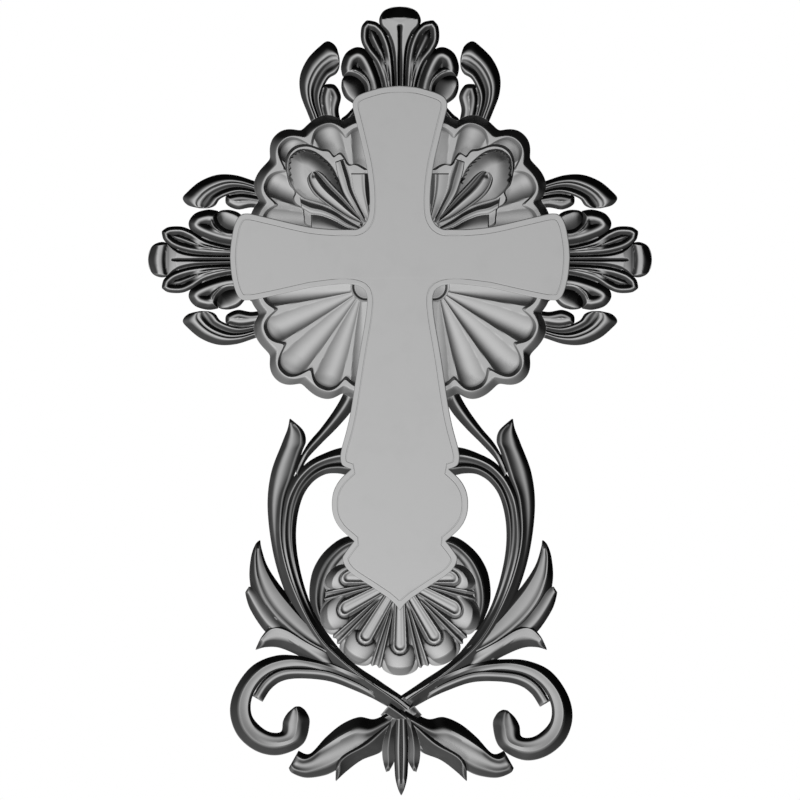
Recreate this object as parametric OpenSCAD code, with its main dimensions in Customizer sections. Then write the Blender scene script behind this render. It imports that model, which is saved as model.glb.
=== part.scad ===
// Ornamental iron cross: a flat cross with flared arms, standing on four scallop
// shells, with a crest of leaves at the end of each upper arm and two stems below
// that carry scrolls, leaves, a small fluted shell and a drop.
//
// The cross stands upright in the XZ plane and is seen from -Y. Its back lies in
// the plane y = 0, and the origin is on that plane behind the crossing, at the
// mouth of the upper fixing hole.

/* [Overall size] */
// Overall height
cross_h = 788; // [600:1:1000]
// Overall width across the two side crests
cross_w = 503; // [400:1:640]

/* [Depth] */
// Thickness of the flat cross
plate_t = 10; // [6:0.5:14]
// Height of the flat cross's back above the wall
standoff = 26; // [25:0.5:32]
// Height of the leaves' outer edges
edge_h = 6; // [3:0.5:9]
// Height of the leaves' rolled rims
rim_h = 20; // [14:0.5:24]
// Height of the hollow between two rims
hollow_h = 12; // [8:0.5:14]
// Height of the round stems
stem_h = 20; // [14:0.5:24]

/* [Shells] */
// Height of a shell's scalloped rim
shell_rim_h = 23; // [18:0.5:24]
// Height of the ridges between the flutes
shell_ridge_h = 15; // [12:0.5:16]
// Height of the floor of a flute
shell_floor_h = 9; // [5:0.5:11]
// Height of the edge of the palmette that lies on an upper shell
palmette_edge_h = 17; // [16.5:0.5:19]
// Height of the palmette's petals
palmette_h = 24; // [20:0.5:25]

/* [Flat cross] */
// Distance of the border line from the outline
border_inset = 5.5; // [4:0.5:8]
// Width of the border line
border_w = 1.2; // [0.8:0.1:2]
// Depth of the border line
border_deep = 0.6; // [0.3:0.1:1.5]

/* [Fixings] */
// Radius of the tapped holes for the wall studs
tap_r = 4; // [3:0.05:5]
// Depth of the tapped holes
tap_deep = 22; // [12:0.5:24]
// Radius of the bosses around the tapped holes
boss_r = 11; // [9:0.5:14]
// Depth of the lower fixing hole below the upper one
lower_boss = 247; // [235:1:260]

/* [Hidden] */

// The outlines below are drawn, in mm, for a cross of this height and width. A point
// is [x, z] on the left half of the cross, with the crossing at [0, 0].
drawn_h = 788;
drawn_w = 503;
kx = cross_w / drawn_w;
kz = cross_h / drawn_h;

plate_colour = "silver";
iron_colour = "dimgray";

// ---- curves ------------------------------------------------------------------

function mix(a, b, t) = a + (b - a) * t;

function limit(t) = max(0, min(1, t));

// Running length of a line of points
function lengths(p, i = 0, run = [0]) =
    i >= len(p) - 1 ? run : lengths(p, i + 1, concat(run, [run[i] + norm(p[i + 1] - p[i])]));

function stretch_of(run, s, i = 0) =
    (i >= len(run) - 2 || s <= run[i + 1]) ? i : stretch_of(run, s, i + 1);

function bend(a, b, c, d, t) =
    0.5 * (2 * b + (c - a) * t + (2 * a - 5 * b + 4 * c - d) * t * t + (3 * b - a - 3 * c + d) * t * t * t);

// n + 1 points spaced evenly along the smooth curve through p
function curve(p, n) =
    let (run = lengths(p), last = len(p) - 1)
    [for (j = [0:n])
        let (s = run[last] * j / n, i = stretch_of(run, s), t = (s - run[i]) / (run[i + 1] - run[i]))
        bend(p[max(i - 1, 0)], p[i], p[i + 1], p[min(i + 2, last)], t)];

function backwards(p) = [for (i = [len(p) - 1:-1:0]) p[i]];

// Points mirrored in the upright line x = axis
function mirrored(p, axis = 0) = [for (q = p) [2 * axis - q[0], q[1]]];

// Points at the size that is asked for
function sized(p) = [for (q = p) [q[0] * kx, q[1] * kz]];

// ---- relief ------------------------------------------------------------------

// Solid with a flat back on the wall plane. rows[j][k] is [x, z, height] on its front,
// and the first and last point of each row lie on its outline.
module relief(rows) {
    n = len(rows) - 1;
    m = len(rows[0]) - 1;
    w = m + 1;
    o = (n + 1) * w;
    tops = [for (row = rows) for (q = row) [q[0], -q[2], q[1]]];
    backs = [for (row = rows) each [[row[0][0], 0, row[0][1]], [row[m][0], 0, row[m][1]]]];
    polyhedron(points = concat(tops, backs), faces = concat(
        [for (j = [0:n - 1]) for (k = [0:m - 1]) let (q = j * w + k)
            each [[q, q + w, q + w + 1], [q, q + w + 1, q + 1]]],
        [for (j = [0:n - 1]) let (q = o + 2 * j)
            each [[q, q + 1, q + 3], [q, q + 3, q + 2],
                  [q, q + 2, (j + 1) * w], [q, (j + 1) * w, j * w],
                  [j * w + m, (j + 1) * w + m, q + 3], [j * w + m, q + 3, q + 1]]],
        [for (k = [0:m - 1]) [k + 1, o + 1, k]],
        [[o, 0, o + 1]],
        [for (k = [0:m - 1]) [n * w + k, o + 2 * n, n * w + k + 1]],
        [[o + 2 * n, o + 2 * n + 1, n * w + m]]
    ));
}

// Outline of the leaf between two edges
function leaf_outline(edges, n) =
    concat(curve(sized(edges[0]), n), backwards(curve(sized(edges[1]), n)));

// Leaf between two smooth edges that run from its root to its tip, with the second
// edge on the right of the first. section is [place across, height] from the first
// edge to the second, and towards the tip it turns into tip_section.
module leaf(edges, section, n = 8, tip_section = undef, turn = 0.6) {
    a = curve(sized(edges[0]), n);
    b = curve(sized(edges[1]), n);
    last = is_undef(tip_section) ? section : tip_section;
    relief([for (j = [0:n])
        let (t = limit((j / n - turn) / (1 - turn)))
        [for (k = [0:len(section) - 1])
            let (q = mix(section[k], last[k], t), p = mix(a[j], b[j], q[0]))
            [p[0], p[1], q[1]]]]);
}

// Raised bead with a pointed section along the points p
module bead(p, wide, low, high, n = 8) {
    c = curve(sized(p), n);
    for (i = [0:n - 1])
        hull() for (q = [c[i], c[i + 1]])
            translate([q[0], -low, q[1]]) rotate([90, 30, 0])
                cylinder(h = high - low, r1 = wide / 2, r2 = wide / 8, $fn = 3);
}

// Upright block with the plan outline p, from the wall plane to height h
module block(p, h) {
    rotate([90, 0, 0]) linear_extrude(height = h) polygon(p);
}

module on_right(axis = 0) {
    translate([2 * axis * kx, 0, 0]) mirror([1, 0, 0]) children();
}

// Width of the raised lines on the leaves and shells
vein_w = 3;

// ---- sections across the leaves ---------------------------------------------

hollow = [[0, edge_h], [0.18, rim_h], [0.5, hollow_h], [0.82, rim_h], [1, edge_h]];
hollow_end = [[0, edge_h], [0.25, rim_h - 4], [0.5, hollow_h], [0.75, rim_h - 4], [1, edge_h]];
dome = [[0, edge_h], [0.2, rim_h - 3], [0.5, rim_h + 2], [0.8, rim_h - 3], [1, edge_h]];
grooved = [[0, edge_h], [0.3, rim_h + 2], [0.5, hollow_h], [0.7, rim_h + 2], [1, edge_h]];
dome_low = [[0, edge_h], [0.3, rim_h], [0.7, rim_h], [1, edge_h]];
bar = [[0, edge_h], [0.3, stem_h], [0.7, stem_h], [1, edge_h]];
ridged = [[0, edge_h], [0.35, stem_h - 3], [0.65, stem_h], [1, edge_h]];

// ---- flat cross ---------------------------------------------------------------

// Left half of the outline, in stretches that meet at sharp corners
plate_stretches = [
    [[0, 171], [-16, 170], [-33, 165.5], [-43, 161], [-47, 155.5], [-47, 148]],
    [[-47, 148], [-40, 120], [-33, 88], [-30.3, 58], [-32.5, 38], [-42, 28.3], [-60, 27.3]],
    [[-60, 27.3], [-90, 30], [-130, 39], [-151, 43.5], [-160, 41.5], [-165.5, 32], [-169, 14], [-170, 0]],
    [[-170, 0], [-168.7, -16], [-165.5, -31], [-160.5, -41], [-152, -43.3], [-130, -39.5], [-90, -30.5]],
    [[-90, -30.5], [-58, -27], [-40, -29.6], [-33.3, -38], [-34, -58], [-41, -100], [-50, -158],
     [-58.3, -191]],
    [[-58.3, -191], [-59.6, -200], [-57.5, -208], [-49, -212]],
    [[-49, -212], [-61, -224], [-67.3, -238], [-67.3, -256], [-60.5, -270.5], [-46, -284]],
    [[-46, -284], [-55, -296], [-57.3, -303], [-50, -315], [-28, -330], [-13, -340]],
    [[-13, -340], [-5, -347], [0, -354]],
];

plate_half = [for (s = plate_stretches) each let (c = curve(sized(s), 2 * (len(s) - 1)))
    [for (i = [0:len(c) - 2]) c[i]]];
plate_outline = concat(plate_half, [[0, -354 * kz]],
    [for (i = [len(plate_half) - 1:-1:1]) [-plate_half[i][0], plate_half[i][1]]]);

module fixing_boss() {
    rotate([90, 0, 0]) cylinder(h = standoff, r = boss_r, $fn = 64);
}

module fixing_bore() {
    rotate([90, 0, 0]) translate([0, 0, -1]) cylinder(h = tap_deep + 1, r = tap_r, $fn = 64);
}

module cross_plate() {
    face = standoff + plate_t;
    color(plate_colour) difference() {
        union() {
            translate([0, -standoff, 0]) block(plate_outline, plate_t);
            fixing_boss();
            translate([0, 0, -lower_boss]) fixing_boss();
        }
        fixing_bore();
        translate([0, 0, -lower_boss]) fixing_bore();
        translate([0, -face + border_deep, 0]) rotate([90, 0, 0])
            linear_extrude(height = border_deep + 1) difference() {
                offset(delta = -border_inset) polygon(plate_outline);
                offset(delta = -border_inset - border_w) polygon(plate_outline);
            }
    }
}

// ---- large shells ---------------------------------------------------------------

shell_root = [-38, -33];
corner_at = [-33, -28];
corner_r = 13;
lobe_pitch = 22.2;
// Angle of the first notch below the arm
first_notch = -9.4;
lobes = 5;
// Turn by which the first and last edge reach on under the flat cross
tuck = 8;
lobe_steps = 3;
// Distance from the root to the outer and inner side of the rim, at the notches and lobes
notch_out = [104, 106, 113, 112, 105.5, 102];
lobe_out = [112, 116, 124, 115.5, 110];
notch_in = [84, 90, 96, 96, 91.5, 86];
lobe_in = [100, 106, 115, 107, 98];

// Reach at the share t of the way across lobe i
function reach(notch, lobe, i, t) =
    let (base = mix(notch[i], notch[i + 1], t), s = 1 - pow(abs(2 * t - 1), 2.2))
    base + (lobe[i] - base) * s;

function from_root(r, angle) =
    [shell_root[0] - r * cos(angle), shell_root[1] - r * sin(angle)];

shell_stations = [for (i = [0:lobes - 1]) for (j = [0:lobe_steps - 1]) [i, j / lobe_steps]];
shell_last = [lobes - 1, 1];

function shell_row(s) =
    let (i = s[0], t = s[1], under = i + t == 0 ? -tuck : i + t == lobes ? tuck : 0,
         angle = first_notch + lobe_pitch * (i + t) + under,
         outer = reach(notch_out, lobe_out, i, t), inner = reach(notch_in, lobe_in, i, t),
         flute = mix(shell_ridge_h, shell_floor_h, 1 - pow(abs(2 * t - 1), 2)),
         place = function (r, h) let (p = from_root(r, angle)) [p[0] * kx, p[1] * kz, h])
    [place(3, shell_ridge_h), place(0.5 * inner, flute), place(inner - 4, flute),
     place(mix(inner, outer, 0.2), shell_rim_h), place(outer, edge_h)];

shell_rows = [for (s = concat(shell_stations, [shell_last])) shell_row(s)];
shell_outline = concat([for (row = shell_rows) [row[4][0], row[4][1]]],
    [for (row = backwards(shell_rows)) [row[0][0], row[0][1]]]);

// Reach from the root of the two ends of the line on a ridge
shell_vein = [20, 84];

// Ledge under the flat cross that the shell is held by
shell_ledge = [[-126, -15], [-24, -15], [-24, -120], [-30, -120], [-29, -26], [-126, -26]];

module shell_body() {
    relief(shell_rows);
    block(sized(shell_ledge), standoff);
    translate([corner_at[0] * kx, 0, corner_at[1] * kz]) rotate([90, 0, 0])
        cylinder(h = shell_ridge_h + 2, r = corner_r, $fn = 12);
    for (i = [1:lobes - 1])
        bead([for (r = shell_vein) from_root(r, first_notch + lobe_pitch * i)], vein_w, edge_h,
             shell_ridge_h + 1, 2);
}

module lower_shell() {
    color(iron_colour) shell_body();
}

module upper_shell() {
    color(iron_colour) difference() {
        mirror([0, 0, 1]) shell_body();
        palmette_body();
    }
}

// ---- palmettes on the upper shells ------------------------------------------------

palmette_root = [-38, 32];
// Angle from the middle petal, length and width of each petal
petals = [[0, 74, 19], [26, 70, 13], [-26, 70, 13], [40, 52, 13], [-40, 52, 13]];
petal_start = 4;
// Shares of the middle petal's length between which its raised line runs
petal_vein = [0.1, 0.5, 0.9];
eye_at = 76;
eye_r = 22;

function along(p, angle) =
    let (a = 135 - angle) palmette_root + [p[0] * cos(a) + p[1] * sin(a), p[0] * sin(a) - p[1] * cos(a)];

// Share of its half width that a petal has at the share t of its length
function petal_width(t) = 0.25 + 0.75 * sin(150 * t) + 0.2 * t - 0.55 * pow(t, 6);

function petal_edge(q, side) = [for (t = [0:0.2:1])
    along([mix(petal_start, q[1], t), side * q[2] / 2 * petal_width(t)], q[0])];

petal_section = [[0, palmette_edge_h], [0.5, palmette_h], [1, palmette_edge_h]];

eye_steps = 8;
eye_rows = [for (i = [0:eye_steps]) let (a = 180 - 180 * i / eye_steps)
    [for (s = [-1, -0.4, 0.4, 1])
        let (p = along([eye_at - eye_r * cos(a), eye_r * (0.03 + sin(a)) * s], 0))
        [p[0] * kx, p[1] * kz, palmette_edge_h + (palmette_h - palmette_edge_h) * (1 - s * s) * sin(a)]]];

module palmette_body() {
    for (q = petals)
        leaf([petal_edge(q, -1), petal_edge(q, 1)], petal_section, n = 4);
    relief(backwards(eye_rows));
    bead([for (t = petal_vein) along([petals[0][1] * t, 0], 0)], vein_w, edge_h, palmette_h + 0.5, 2);
}

module palmette() {
    color(iron_colour) palmette_body();
}

// ---- crests at the ends of the upper arms ------------------------------------------

// The top crest is drawn. A side crest is the same one turned a quarter and narrowed.
side_narrowing = 0.85;
side_level = -2.7;
side_out = 1.5;

function to_side(p) = [for (q = p) [-q[1] - side_out, side_level + side_narrowing * q[0]]];
function same(p) = p;

tongue_edge = [[-5.5, 148], [-6, 185], [-8, 209], [-13, 223], [-19.5, 231], [-20.8, 238], [-17, 245.5],
    [-9, 249.6], [-0.5, 250.4]];
frond = [
    [[-16, 148], [-17.5, 171], [-24, 192], [-34, 206], [-39, 217], [-38.5, 230], [-34, 236.3]],
    [[-4, 148], [-5.3, 185], [-8, 208], [-14, 225], [-22, 234], [-29, 236.4], [-33, 236.7]]];
frond_vein = [[-14, 180], [-22, 206], [-31, 227]];
curl = [
    [[-36, 152], [-36, 170], [-42, 178], [-48, 181], [-53, 181.3], [-56.5, 180.3]],
    [[-15, 152], [-19, 178], [-30, 203], [-42, 210], [-54, 204], [-59, 191], [-57.5, 180.5]]];
curl_tip = [
    [[-36, 148], [-47, 153.5], [-55, 159.5], [-58.5, 168], [-58.3, 176], [-56.5, 180]],
    [[-26, 152], [-33.5, 167], [-40, 177.5], [-48, 181.2], [-53, 181.3], [-56, 180.6]]];

// Block under the end of the arm that the crest is held by
crest_seat = [[-30, 152], [30, 152], [30, 162], [-30, 162]];

// Edges of a leaf after a turn, or of its mirror image where hand is -1
function placed(edges, turn, hand = 1) =
    hand > 0 ? [turn(edges[0]), turn(edges[1])] : [turn(mirrored(edges[1])), turn(mirrored(edges[0]))];

module crest(turn) {
    color(iron_colour) {
        leaf(placed([tongue_edge, mirrored(tongue_edge)], turn), grooved, n = 6, tip_section = dome,
             turn = 0.5);
        for (hand = [1, -1]) {
            leaf(placed(frond, turn, hand), hollow, n = 4, tip_section = hollow_end);
            leaf(placed(curl, turn, hand), hollow, n = 5, tip_section = hollow_end);
            leaf(placed(curl_tip, turn, hand), dome_low, n = 3);
        }
        block(sized(turn(crest_seat)), standoff);
        for (hand = [1, -1])
            bead(turn(hand > 0 ? frond_vein : mirrored(frond_vein)), vein_w, edge_h, hollow_h + 3, 4);
    }
}

// ---- curled leaves beside the crests ------------------------------------------------

curled = [
    [[-86, 128], [-93, 145], [-99.5, 163], [-100, 181], [-92.5, 198], [-80, 211], [-72, 215.8],
     [-64, 210.5], [-60.4, 199]],
    [[-72, 128], [-78.5, 150], [-78.5, 163], [-72, 177.5], [-64, 183], [-60.8, 189], [-60.3, 195]]];
curled_groove = [[-83, 140], [-89, 165], [-82, 188], [-70, 197], [-65, 192]];
inner_leaf = [
    [[-73, 128], [-77.5, 148], [-78.5, 160], [-75.8, 171.5]],
    [[-57, 128], [-61.3, 146], [-59, 161], [-65, 172], [-74, 173]]];

// The shell behind the leaf has the outline around
module curled_leaf(turn, hand, around) {
    color(iron_colour) difference() {
        union() {
            leaf(placed(curled, turn, hand), hollow, n = 7, tip_section = hollow_end);
            leaf(placed(inner_leaf, turn, hand), dome_low, n = 3);
            bead(turn(hand > 0 ? curled_groove : mirrored(curled_groove)), vein_w, edge_h, hollow_h + 3, 7);
        }
        translate([0, 1, 0]) block(around, standoff + 2);
    }
}

lower_outline = shell_outline;
upper_outline = backwards([for (q = shell_outline) [q[0], -q[1]]]);

module curled_leaf_top() {
    curled_leaf(function (p) p, 1, upper_outline);
}

module curled_leaf_upper() {
    curled_leaf(function (p) to_side(p), -1, upper_outline);
}

module curled_leaf_lower() {
    curled_leaf(function (p) to_side(p), 1, lower_outline);
}

// ---- stems -----------------------------------------------------------------------

// The stems and what hangs below them mirror in this upright line.
low_axis = 1.25;

pointed_leaf = [
    [[0, -459], [-11, -450.5], [-30, -438.5], [-55, -426], [-78, -404], [-100, -368], [-117, -330],
     [-127.5, -293], [-132.5, -250], [-129, -216], [-118, -186], [-112.5, -172], [-110.5, -162]],
    [[8, -452], [-6, -441], [-30, -424], [-55, -404], [-78, -382], [-96, -352], [-110, -317], [-118, -280],
     [-117, -243], [-105, -209], [-94, -187], [-97, -173], [-109.5, -161.7]]];
arch = [
    [[8, -453], [-6, -442], [-30, -425], [-55, -405], [-78, -383], [-96, -353], [-110, -318], [-118, -281],
     [-117, -244], [-106, -219], [-92, -205], [-75, -196], [-58, -190.5], [-40, -190]],
    [[12, -446], [2, -439], [-20, -424], [-52, -401], [-80, -365], [-94, -334], [-102.5, -298],
     [-103.5, -268], [-98, -242], [-88, -226], [-75, -217.5], [-62, -216.5], [-52, -218.5], [-40, -220]]];
tendril = [
    [[-106, -212], [-93, -188], [-79, -171], [-66, -153], [-57, -137], [-52, -122]],
    [[-101, -222], [-94, -204], [-80, -188], [-64, -172], [-50, -156], [-42, -142]]];
leaf_long = [
    [[-70, -400], [-100, -388], [-130, -366], [-145, -345], [-150.5, -322], [-149, -300], [-144.5, -287],
     [-140.5, -283.2]],
    [[-60, -392], [-88, -366], [-106, -345], [-122, -325.5], [-133, -308], [-138.5, -291],
     [-139.6, -283.5]]];
leaf_side = [
    [[-80, -408], [-108, -392], [-128, -380], [-138, -371], [-150, -352], [-154.6, -337], [-154, -334]],
    [[-90, -385], [-118, -368], [-134, -350], [-144, -335], [-150.5, -329.5], [-153, -333]]];
leaf_low = [
    [[-58, -424], [-80, -411], [-100, -399.5], [-120, -391], [-134, -390.2], [-144.5, -393]],
    [[-70, -396], [-95, -383], [-115, -371], [-128, -369.3], [-138, -379], [-144, -391]]];
scroll = [
    [[-48, -431], [-75, -417], [-100, -412], [-122, -413], [-138, -424], [-148, -441], [-148.5, -457],
     [-141, -468], [-130, -475], [-119, -474.5], [-117, -464], [-110.5, -452]],
    [[-40, -418], [-75, -403.5], [-99, -399], [-124, -398.5], [-148, -409], [-165, -432], [-170, -456],
     [-162, -479], [-143, -494.5], [-120, -498], [-97, -487], [-90.3, -465], [-98, -448.5]]];
cut_strand = [
    [[-44, -434], [-70, -424.5], [-98, -421.5], [-117, -423.8], [-129, -432], [-137.5, -445]],
    [[-44, -424], [-72, -413], [-98, -410.5], [-120, -412], [-136, -422], [-147.5, -439]]];
foot_long = [
    [[12, -446], [-4, -452], [-26, -463], [-44, -472], [-66, -485], [-66, -501], [-64.5, -523]],
    [[22, -458], [4, -470], [-8, -482], [-19, -495], [-38, -503], [-53, -514], [-64, -524.2]]];
foot_hook = [
    [[6, -444], [-12, -455.5], [-26, -462], [-41, -460], [-58, -467], [-74, -480], [-90, -496.5],
     [-101.5, -493.6]],
    [[-20, -486], [-34, -486], [-50, -492], [-66, -514.5], [-79, -519.3], [-95, -520.7], [-108, -516],
     [-111.3, -511]]];
stem_seat = [[-50, -193], [-38, -193], [-38, -214], [-46, -214]];
stem_crease = [[-78, -398], [-104, -372], [-124, -345], [-141, -303]];

// The right scroll hangs a little lower than the left one.
scroll_drop = 5;
scroll_from = 60;

function hung(p, drop) = [for (q = p) [q[0], q[1] - drop * limit((-q[0] - scroll_from) / scroll_from)]];
function hung_edges(e, drop) = [hung(e[0], drop), hung(e[1], drop)];

pointed_steps = 11;
arch_steps = 11;

module stem_arms(drop) {
    leaf(pointed_leaf, bar, n = pointed_steps, tip_section = ridged, turn = 0.3);
    leaf(arch, ridged, n = arch_steps);
    leaf(tendril, bar, n = 3);
    leaf(leaf_long, ridged, n = 4);
    leaf(leaf_side, ridged, n = 4);
    leaf(leaf_low, ridged, n = 4);
    leaf(hung_edges(scroll, drop), bar, n = 12);
    leaf(hung_edges(cut_strand, drop), bar, n = 4);
    block(sized(stem_seat), standoff);
    bead(stem_crease, vein_w, edge_h, stem_h + 1, 8);
}

// The leaf at the foot of a stem lies on the other side of the cross.
module foot() {
    leaf(placed([for (e = foot_long) mirrored(e, low_axis)], function (p) p), ridged, n = 4);
    leaf(placed([for (e = foot_hook) mirrored(e, low_axis)], function (p) p), ridged, n = 6);
}

module whole_stem(drop) {
    stem_arms(drop);
    foot();
}

// Where the stems cross they are halved into each other: the left one passes in front
// and the right one behind.
crossing = [[-36, -452], [low_axis, -418], [38.5, -452], [low_axis, -496]];

module halving(low, high) {
    translate([0, -low, 0]) block(sized(crossing), high - low);
}

module stem_left() {
    color(iron_colour) difference() {
        whole_stem(0);
        halving(-1, stem_h / 2);
        drop_blocks();
        block(lower_outline, standoff);
    }
}

module stem_right() {
    color(iron_colour) difference() {
        on_right(low_axis) whole_stem(scroll_drop);
        halving(stem_h / 2, standoff);
        drop_blocks();
        on_right() block(lower_outline, standoff);
    }
}

// Room that the round parts of the stems take from what lies beside them
module stem_blocks() {
    for (side = [0, 1]) mirror([side, 0, 0]) {
        shift = side * 2 * low_axis * kx;
        translate([-shift, 0, 0]) {
            block(leaf_outline(arch, arch_steps), standoff);
            block(leaf_outline(pointed_leaf, pointed_steps), standoff);
        }
    }
}

// ---- drop ------------------------------------------------------------------------

bud_edge = [[-6, -462], [-7.6, -490], [-6.8, -510], [-5.8, -522], [-3.2, -532], [-0.4, -538.2]];
bud_leaf = [[-9, -462], [-15, -474], [-18.8, -490], [-18.5, -503], [-15.2, -515]];
bud_leaf_in = [[-5, -462], [-6.5, -476], [-7, -490], [-7, -504], [-12, -514]];

function at_axis(e) = [for (side = e) [for (q = side) [q[0] + low_axis, q[1]]]];

drop_leaves = [
    at_axis([mirrored(bud_edge), bud_edge]),
    at_axis([bud_leaf_in, bud_leaf]),
    at_axis([mirrored(bud_leaf), mirrored(bud_leaf_in)]),
];
drop_steps = 4;
// Distance of the two ribs on the bud from its middle
bud_rib = 3.5;

module drop_blocks() {
    for (e = drop_leaves) translate([0, 1, 0]) block(leaf_outline(e, drop_steps), standoff + 1);
}

module drop() {
    color(iron_colour) {
        leaf(drop_leaves[0], grooved, n = drop_steps, tip_section = dome, turn = 0.6);
        leaf(drop_leaves[1], hollow, n = drop_steps);
        leaf(drop_leaves[2], hollow, n = drop_steps);
        for (x = [-bud_rib, bud_rib])
            bead([[low_axis + x, -472], [low_axis + x, -508]], vein_w, edge_h, rim_h + 4, 4);
    }
}

// ---- small shell between the stems ---------------------------------------------------

small_root = [0, -322];
small_hub_r = 14;
small_reach = 94;
tongue_pitch = 31;
// Height above the hollow at four places from the middle of one tongue to the next
tongue_wave = [10, 0, 8, 0];
small_floor_h = 11;
small_columns = 28;
// Reach from the root of the two ends of the rib on a tongue, and its width
small_rib = [38, 75];
small_rib_w = 8;

function small_reach_at(a) =
    (small_reach + 2 * cos(360 * a / tongue_pitch)) - 28 * pow(max(0, (abs(a) - 35) / 65), 1.6);

function small_wave(i) = tongue_wave[(i + small_columns / 2) % 4];

small_rows = [for (i = [0:small_columns])
    let (a = (i - small_columns / 2) * tongue_pitch / 4, r = small_reach_at(a), wave = small_wave(i))
    [for (q = [[small_hub_r, small_floor_h + 8], [r - 20, small_floor_h + wave],
               [r - 9, small_floor_h + wave], [r, edge_h]])
        [(small_root[0] - q[0] * sin(a)) * kx, (small_root[1] - q[0] * cos(a)) * kz, q[1]]]];

small_outline = concat([for (row = small_rows) [row[3][0], row[3][1]]],
    [for (row = backwards(small_rows)) [row[0][0], row[0][1]]]);

module small_shell() {
    color(iron_colour) difference() {
        union() {
            relief(backwards(small_rows));
            translate([0, 0, small_root[1] * kz]) rotate([90, 0, 0])
                cylinder(h = standoff, r = small_hub_r + 2, $fn = 12);
            for (i = [-2:2])
                bead([for (r = small_rib) small_root - r * [sin(tongue_pitch * i), cos(tongue_pitch * i)]],
                     small_rib_w, edge_h, small_floor_h + 12, 2);
        }
        stem_blocks();
    }
}

crescent_edges = [
    [[-34, -291], [-52, -295], [-65, -309], [-72.5, -327], [-75.5, -345], [-74, -362], [-68, -380]],
    [[-38, -279], [-54, -279.6], [-68, -287.5], [-81, -301.5], [-89, -320], [-90, -345], [-80, -372]]];
crescent_crease = [[-48, -286], [-64, -294], [-78, -312], [-83.5, -335], [-81, -356]];

module crescent() {
    difference() {
        union() {
            leaf(crescent_edges, dome_low, n = 8);
            bead(crescent_crease, vein_w, edge_h, rim_h + 2, 6);
        }
        translate([0, 1, 0]) block(small_outline, standoff + 2);
        stem_blocks();
    }
}

module crescent_left() {
    color(iron_colour) crescent();
}

module crescent_right() {
    color(iron_colour) difference() {
        on_right() crescent();
        stem_blocks();
    }
}

// ---- the whole cross -------------------------------------------------------------

cross_plate();
upper_shell();  // shell_upper_left
on_right() upper_shell();  // shell_upper_right
lower_shell();  // shell_lower_left
on_right() lower_shell();  // shell_lower_right
palmette();  // palmette_left
on_right() palmette();  // palmette_right
crest(function (p) p);  // crest_top
crest(function (p) to_side(p));  // crest_left
on_right() crest(function (p) to_side(p));  // crest_right
curled_leaf_top();  // curled_leaf_top_left
on_right() curled_leaf_top();  // curled_leaf_top_right
curled_leaf_upper();  // curled_leaf_left_upper
curled_leaf_lower();  // curled_leaf_left_lower
on_right() curled_leaf_upper();  // curled_leaf_right_upper
on_right() curled_leaf_lower();  // curled_leaf_right_lower
stem_left();
stem_right();
small_shell();
crescent_left();
crescent_right();
drop();
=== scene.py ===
"""Ornamental iron cross: the fine relief of every casting, its finish, the light and the camera.

Outlines are drawn in mm on the left half of the cross, as [x, z] with the crossing at [0, 0], and heights are
in mm over the wall plane. Everything is turned into metres in one place, by to_frame().
"""

import math

import bmesh
import bpy
import numpy as np
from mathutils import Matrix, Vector
from mathutils.geometry import tessellate_polygon


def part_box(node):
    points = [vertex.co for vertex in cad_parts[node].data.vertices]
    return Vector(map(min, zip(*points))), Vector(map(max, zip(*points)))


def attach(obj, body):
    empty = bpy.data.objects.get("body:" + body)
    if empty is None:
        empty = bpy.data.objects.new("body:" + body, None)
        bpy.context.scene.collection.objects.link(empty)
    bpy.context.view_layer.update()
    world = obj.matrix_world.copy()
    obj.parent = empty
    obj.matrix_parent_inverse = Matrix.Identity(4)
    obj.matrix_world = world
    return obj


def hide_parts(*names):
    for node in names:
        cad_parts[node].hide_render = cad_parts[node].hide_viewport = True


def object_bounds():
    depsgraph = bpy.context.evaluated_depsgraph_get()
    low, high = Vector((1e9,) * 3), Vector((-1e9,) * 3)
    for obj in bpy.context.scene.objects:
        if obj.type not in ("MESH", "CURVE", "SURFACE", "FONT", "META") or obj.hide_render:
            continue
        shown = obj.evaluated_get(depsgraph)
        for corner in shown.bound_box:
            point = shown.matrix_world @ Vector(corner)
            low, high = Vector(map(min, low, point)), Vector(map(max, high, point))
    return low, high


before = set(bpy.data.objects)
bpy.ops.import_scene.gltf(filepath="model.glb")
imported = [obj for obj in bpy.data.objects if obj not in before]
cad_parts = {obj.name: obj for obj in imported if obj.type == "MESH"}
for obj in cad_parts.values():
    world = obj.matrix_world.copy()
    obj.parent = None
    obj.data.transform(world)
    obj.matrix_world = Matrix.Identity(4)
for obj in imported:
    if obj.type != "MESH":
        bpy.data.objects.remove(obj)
cad_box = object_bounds()

# ---- sizes, from the frame ----

MM = 0.001
DRAWN_WIDTH, DRAWN_HEIGHT = 503.8, 788.6
low_corner, high_corner = cad_box
WIDE = (high_corner.x - low_corner.x) / MM / DRAWN_WIDTH
TALL = (high_corner.z - low_corner.z) / MM / DRAWN_HEIGHT
FRONT = -low_corner.y / MM
SEAT = -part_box("crest_top")[0].y / MM

# ---- heights and thicknesses in mm ----

EDGE = 2.5  # foot of every sloping side
LOWEST = 0.5
TOP_LIMIT = SEAT - 0.2  # leaves end just below the flat cross
SEATED = SEAT - 0.1  # what the flat cross lies on
SPARE = 2  # how far a room reaches past the relief, in front and behind
PLATE_T = 10
BOSS_R, TAP_R, TAP_DEEP = 11, 4, 22
LOWER_BOSS = 247
HALF_STEM = 10.0  # where the two stems are halved into each other

# ---- curves ----


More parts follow.
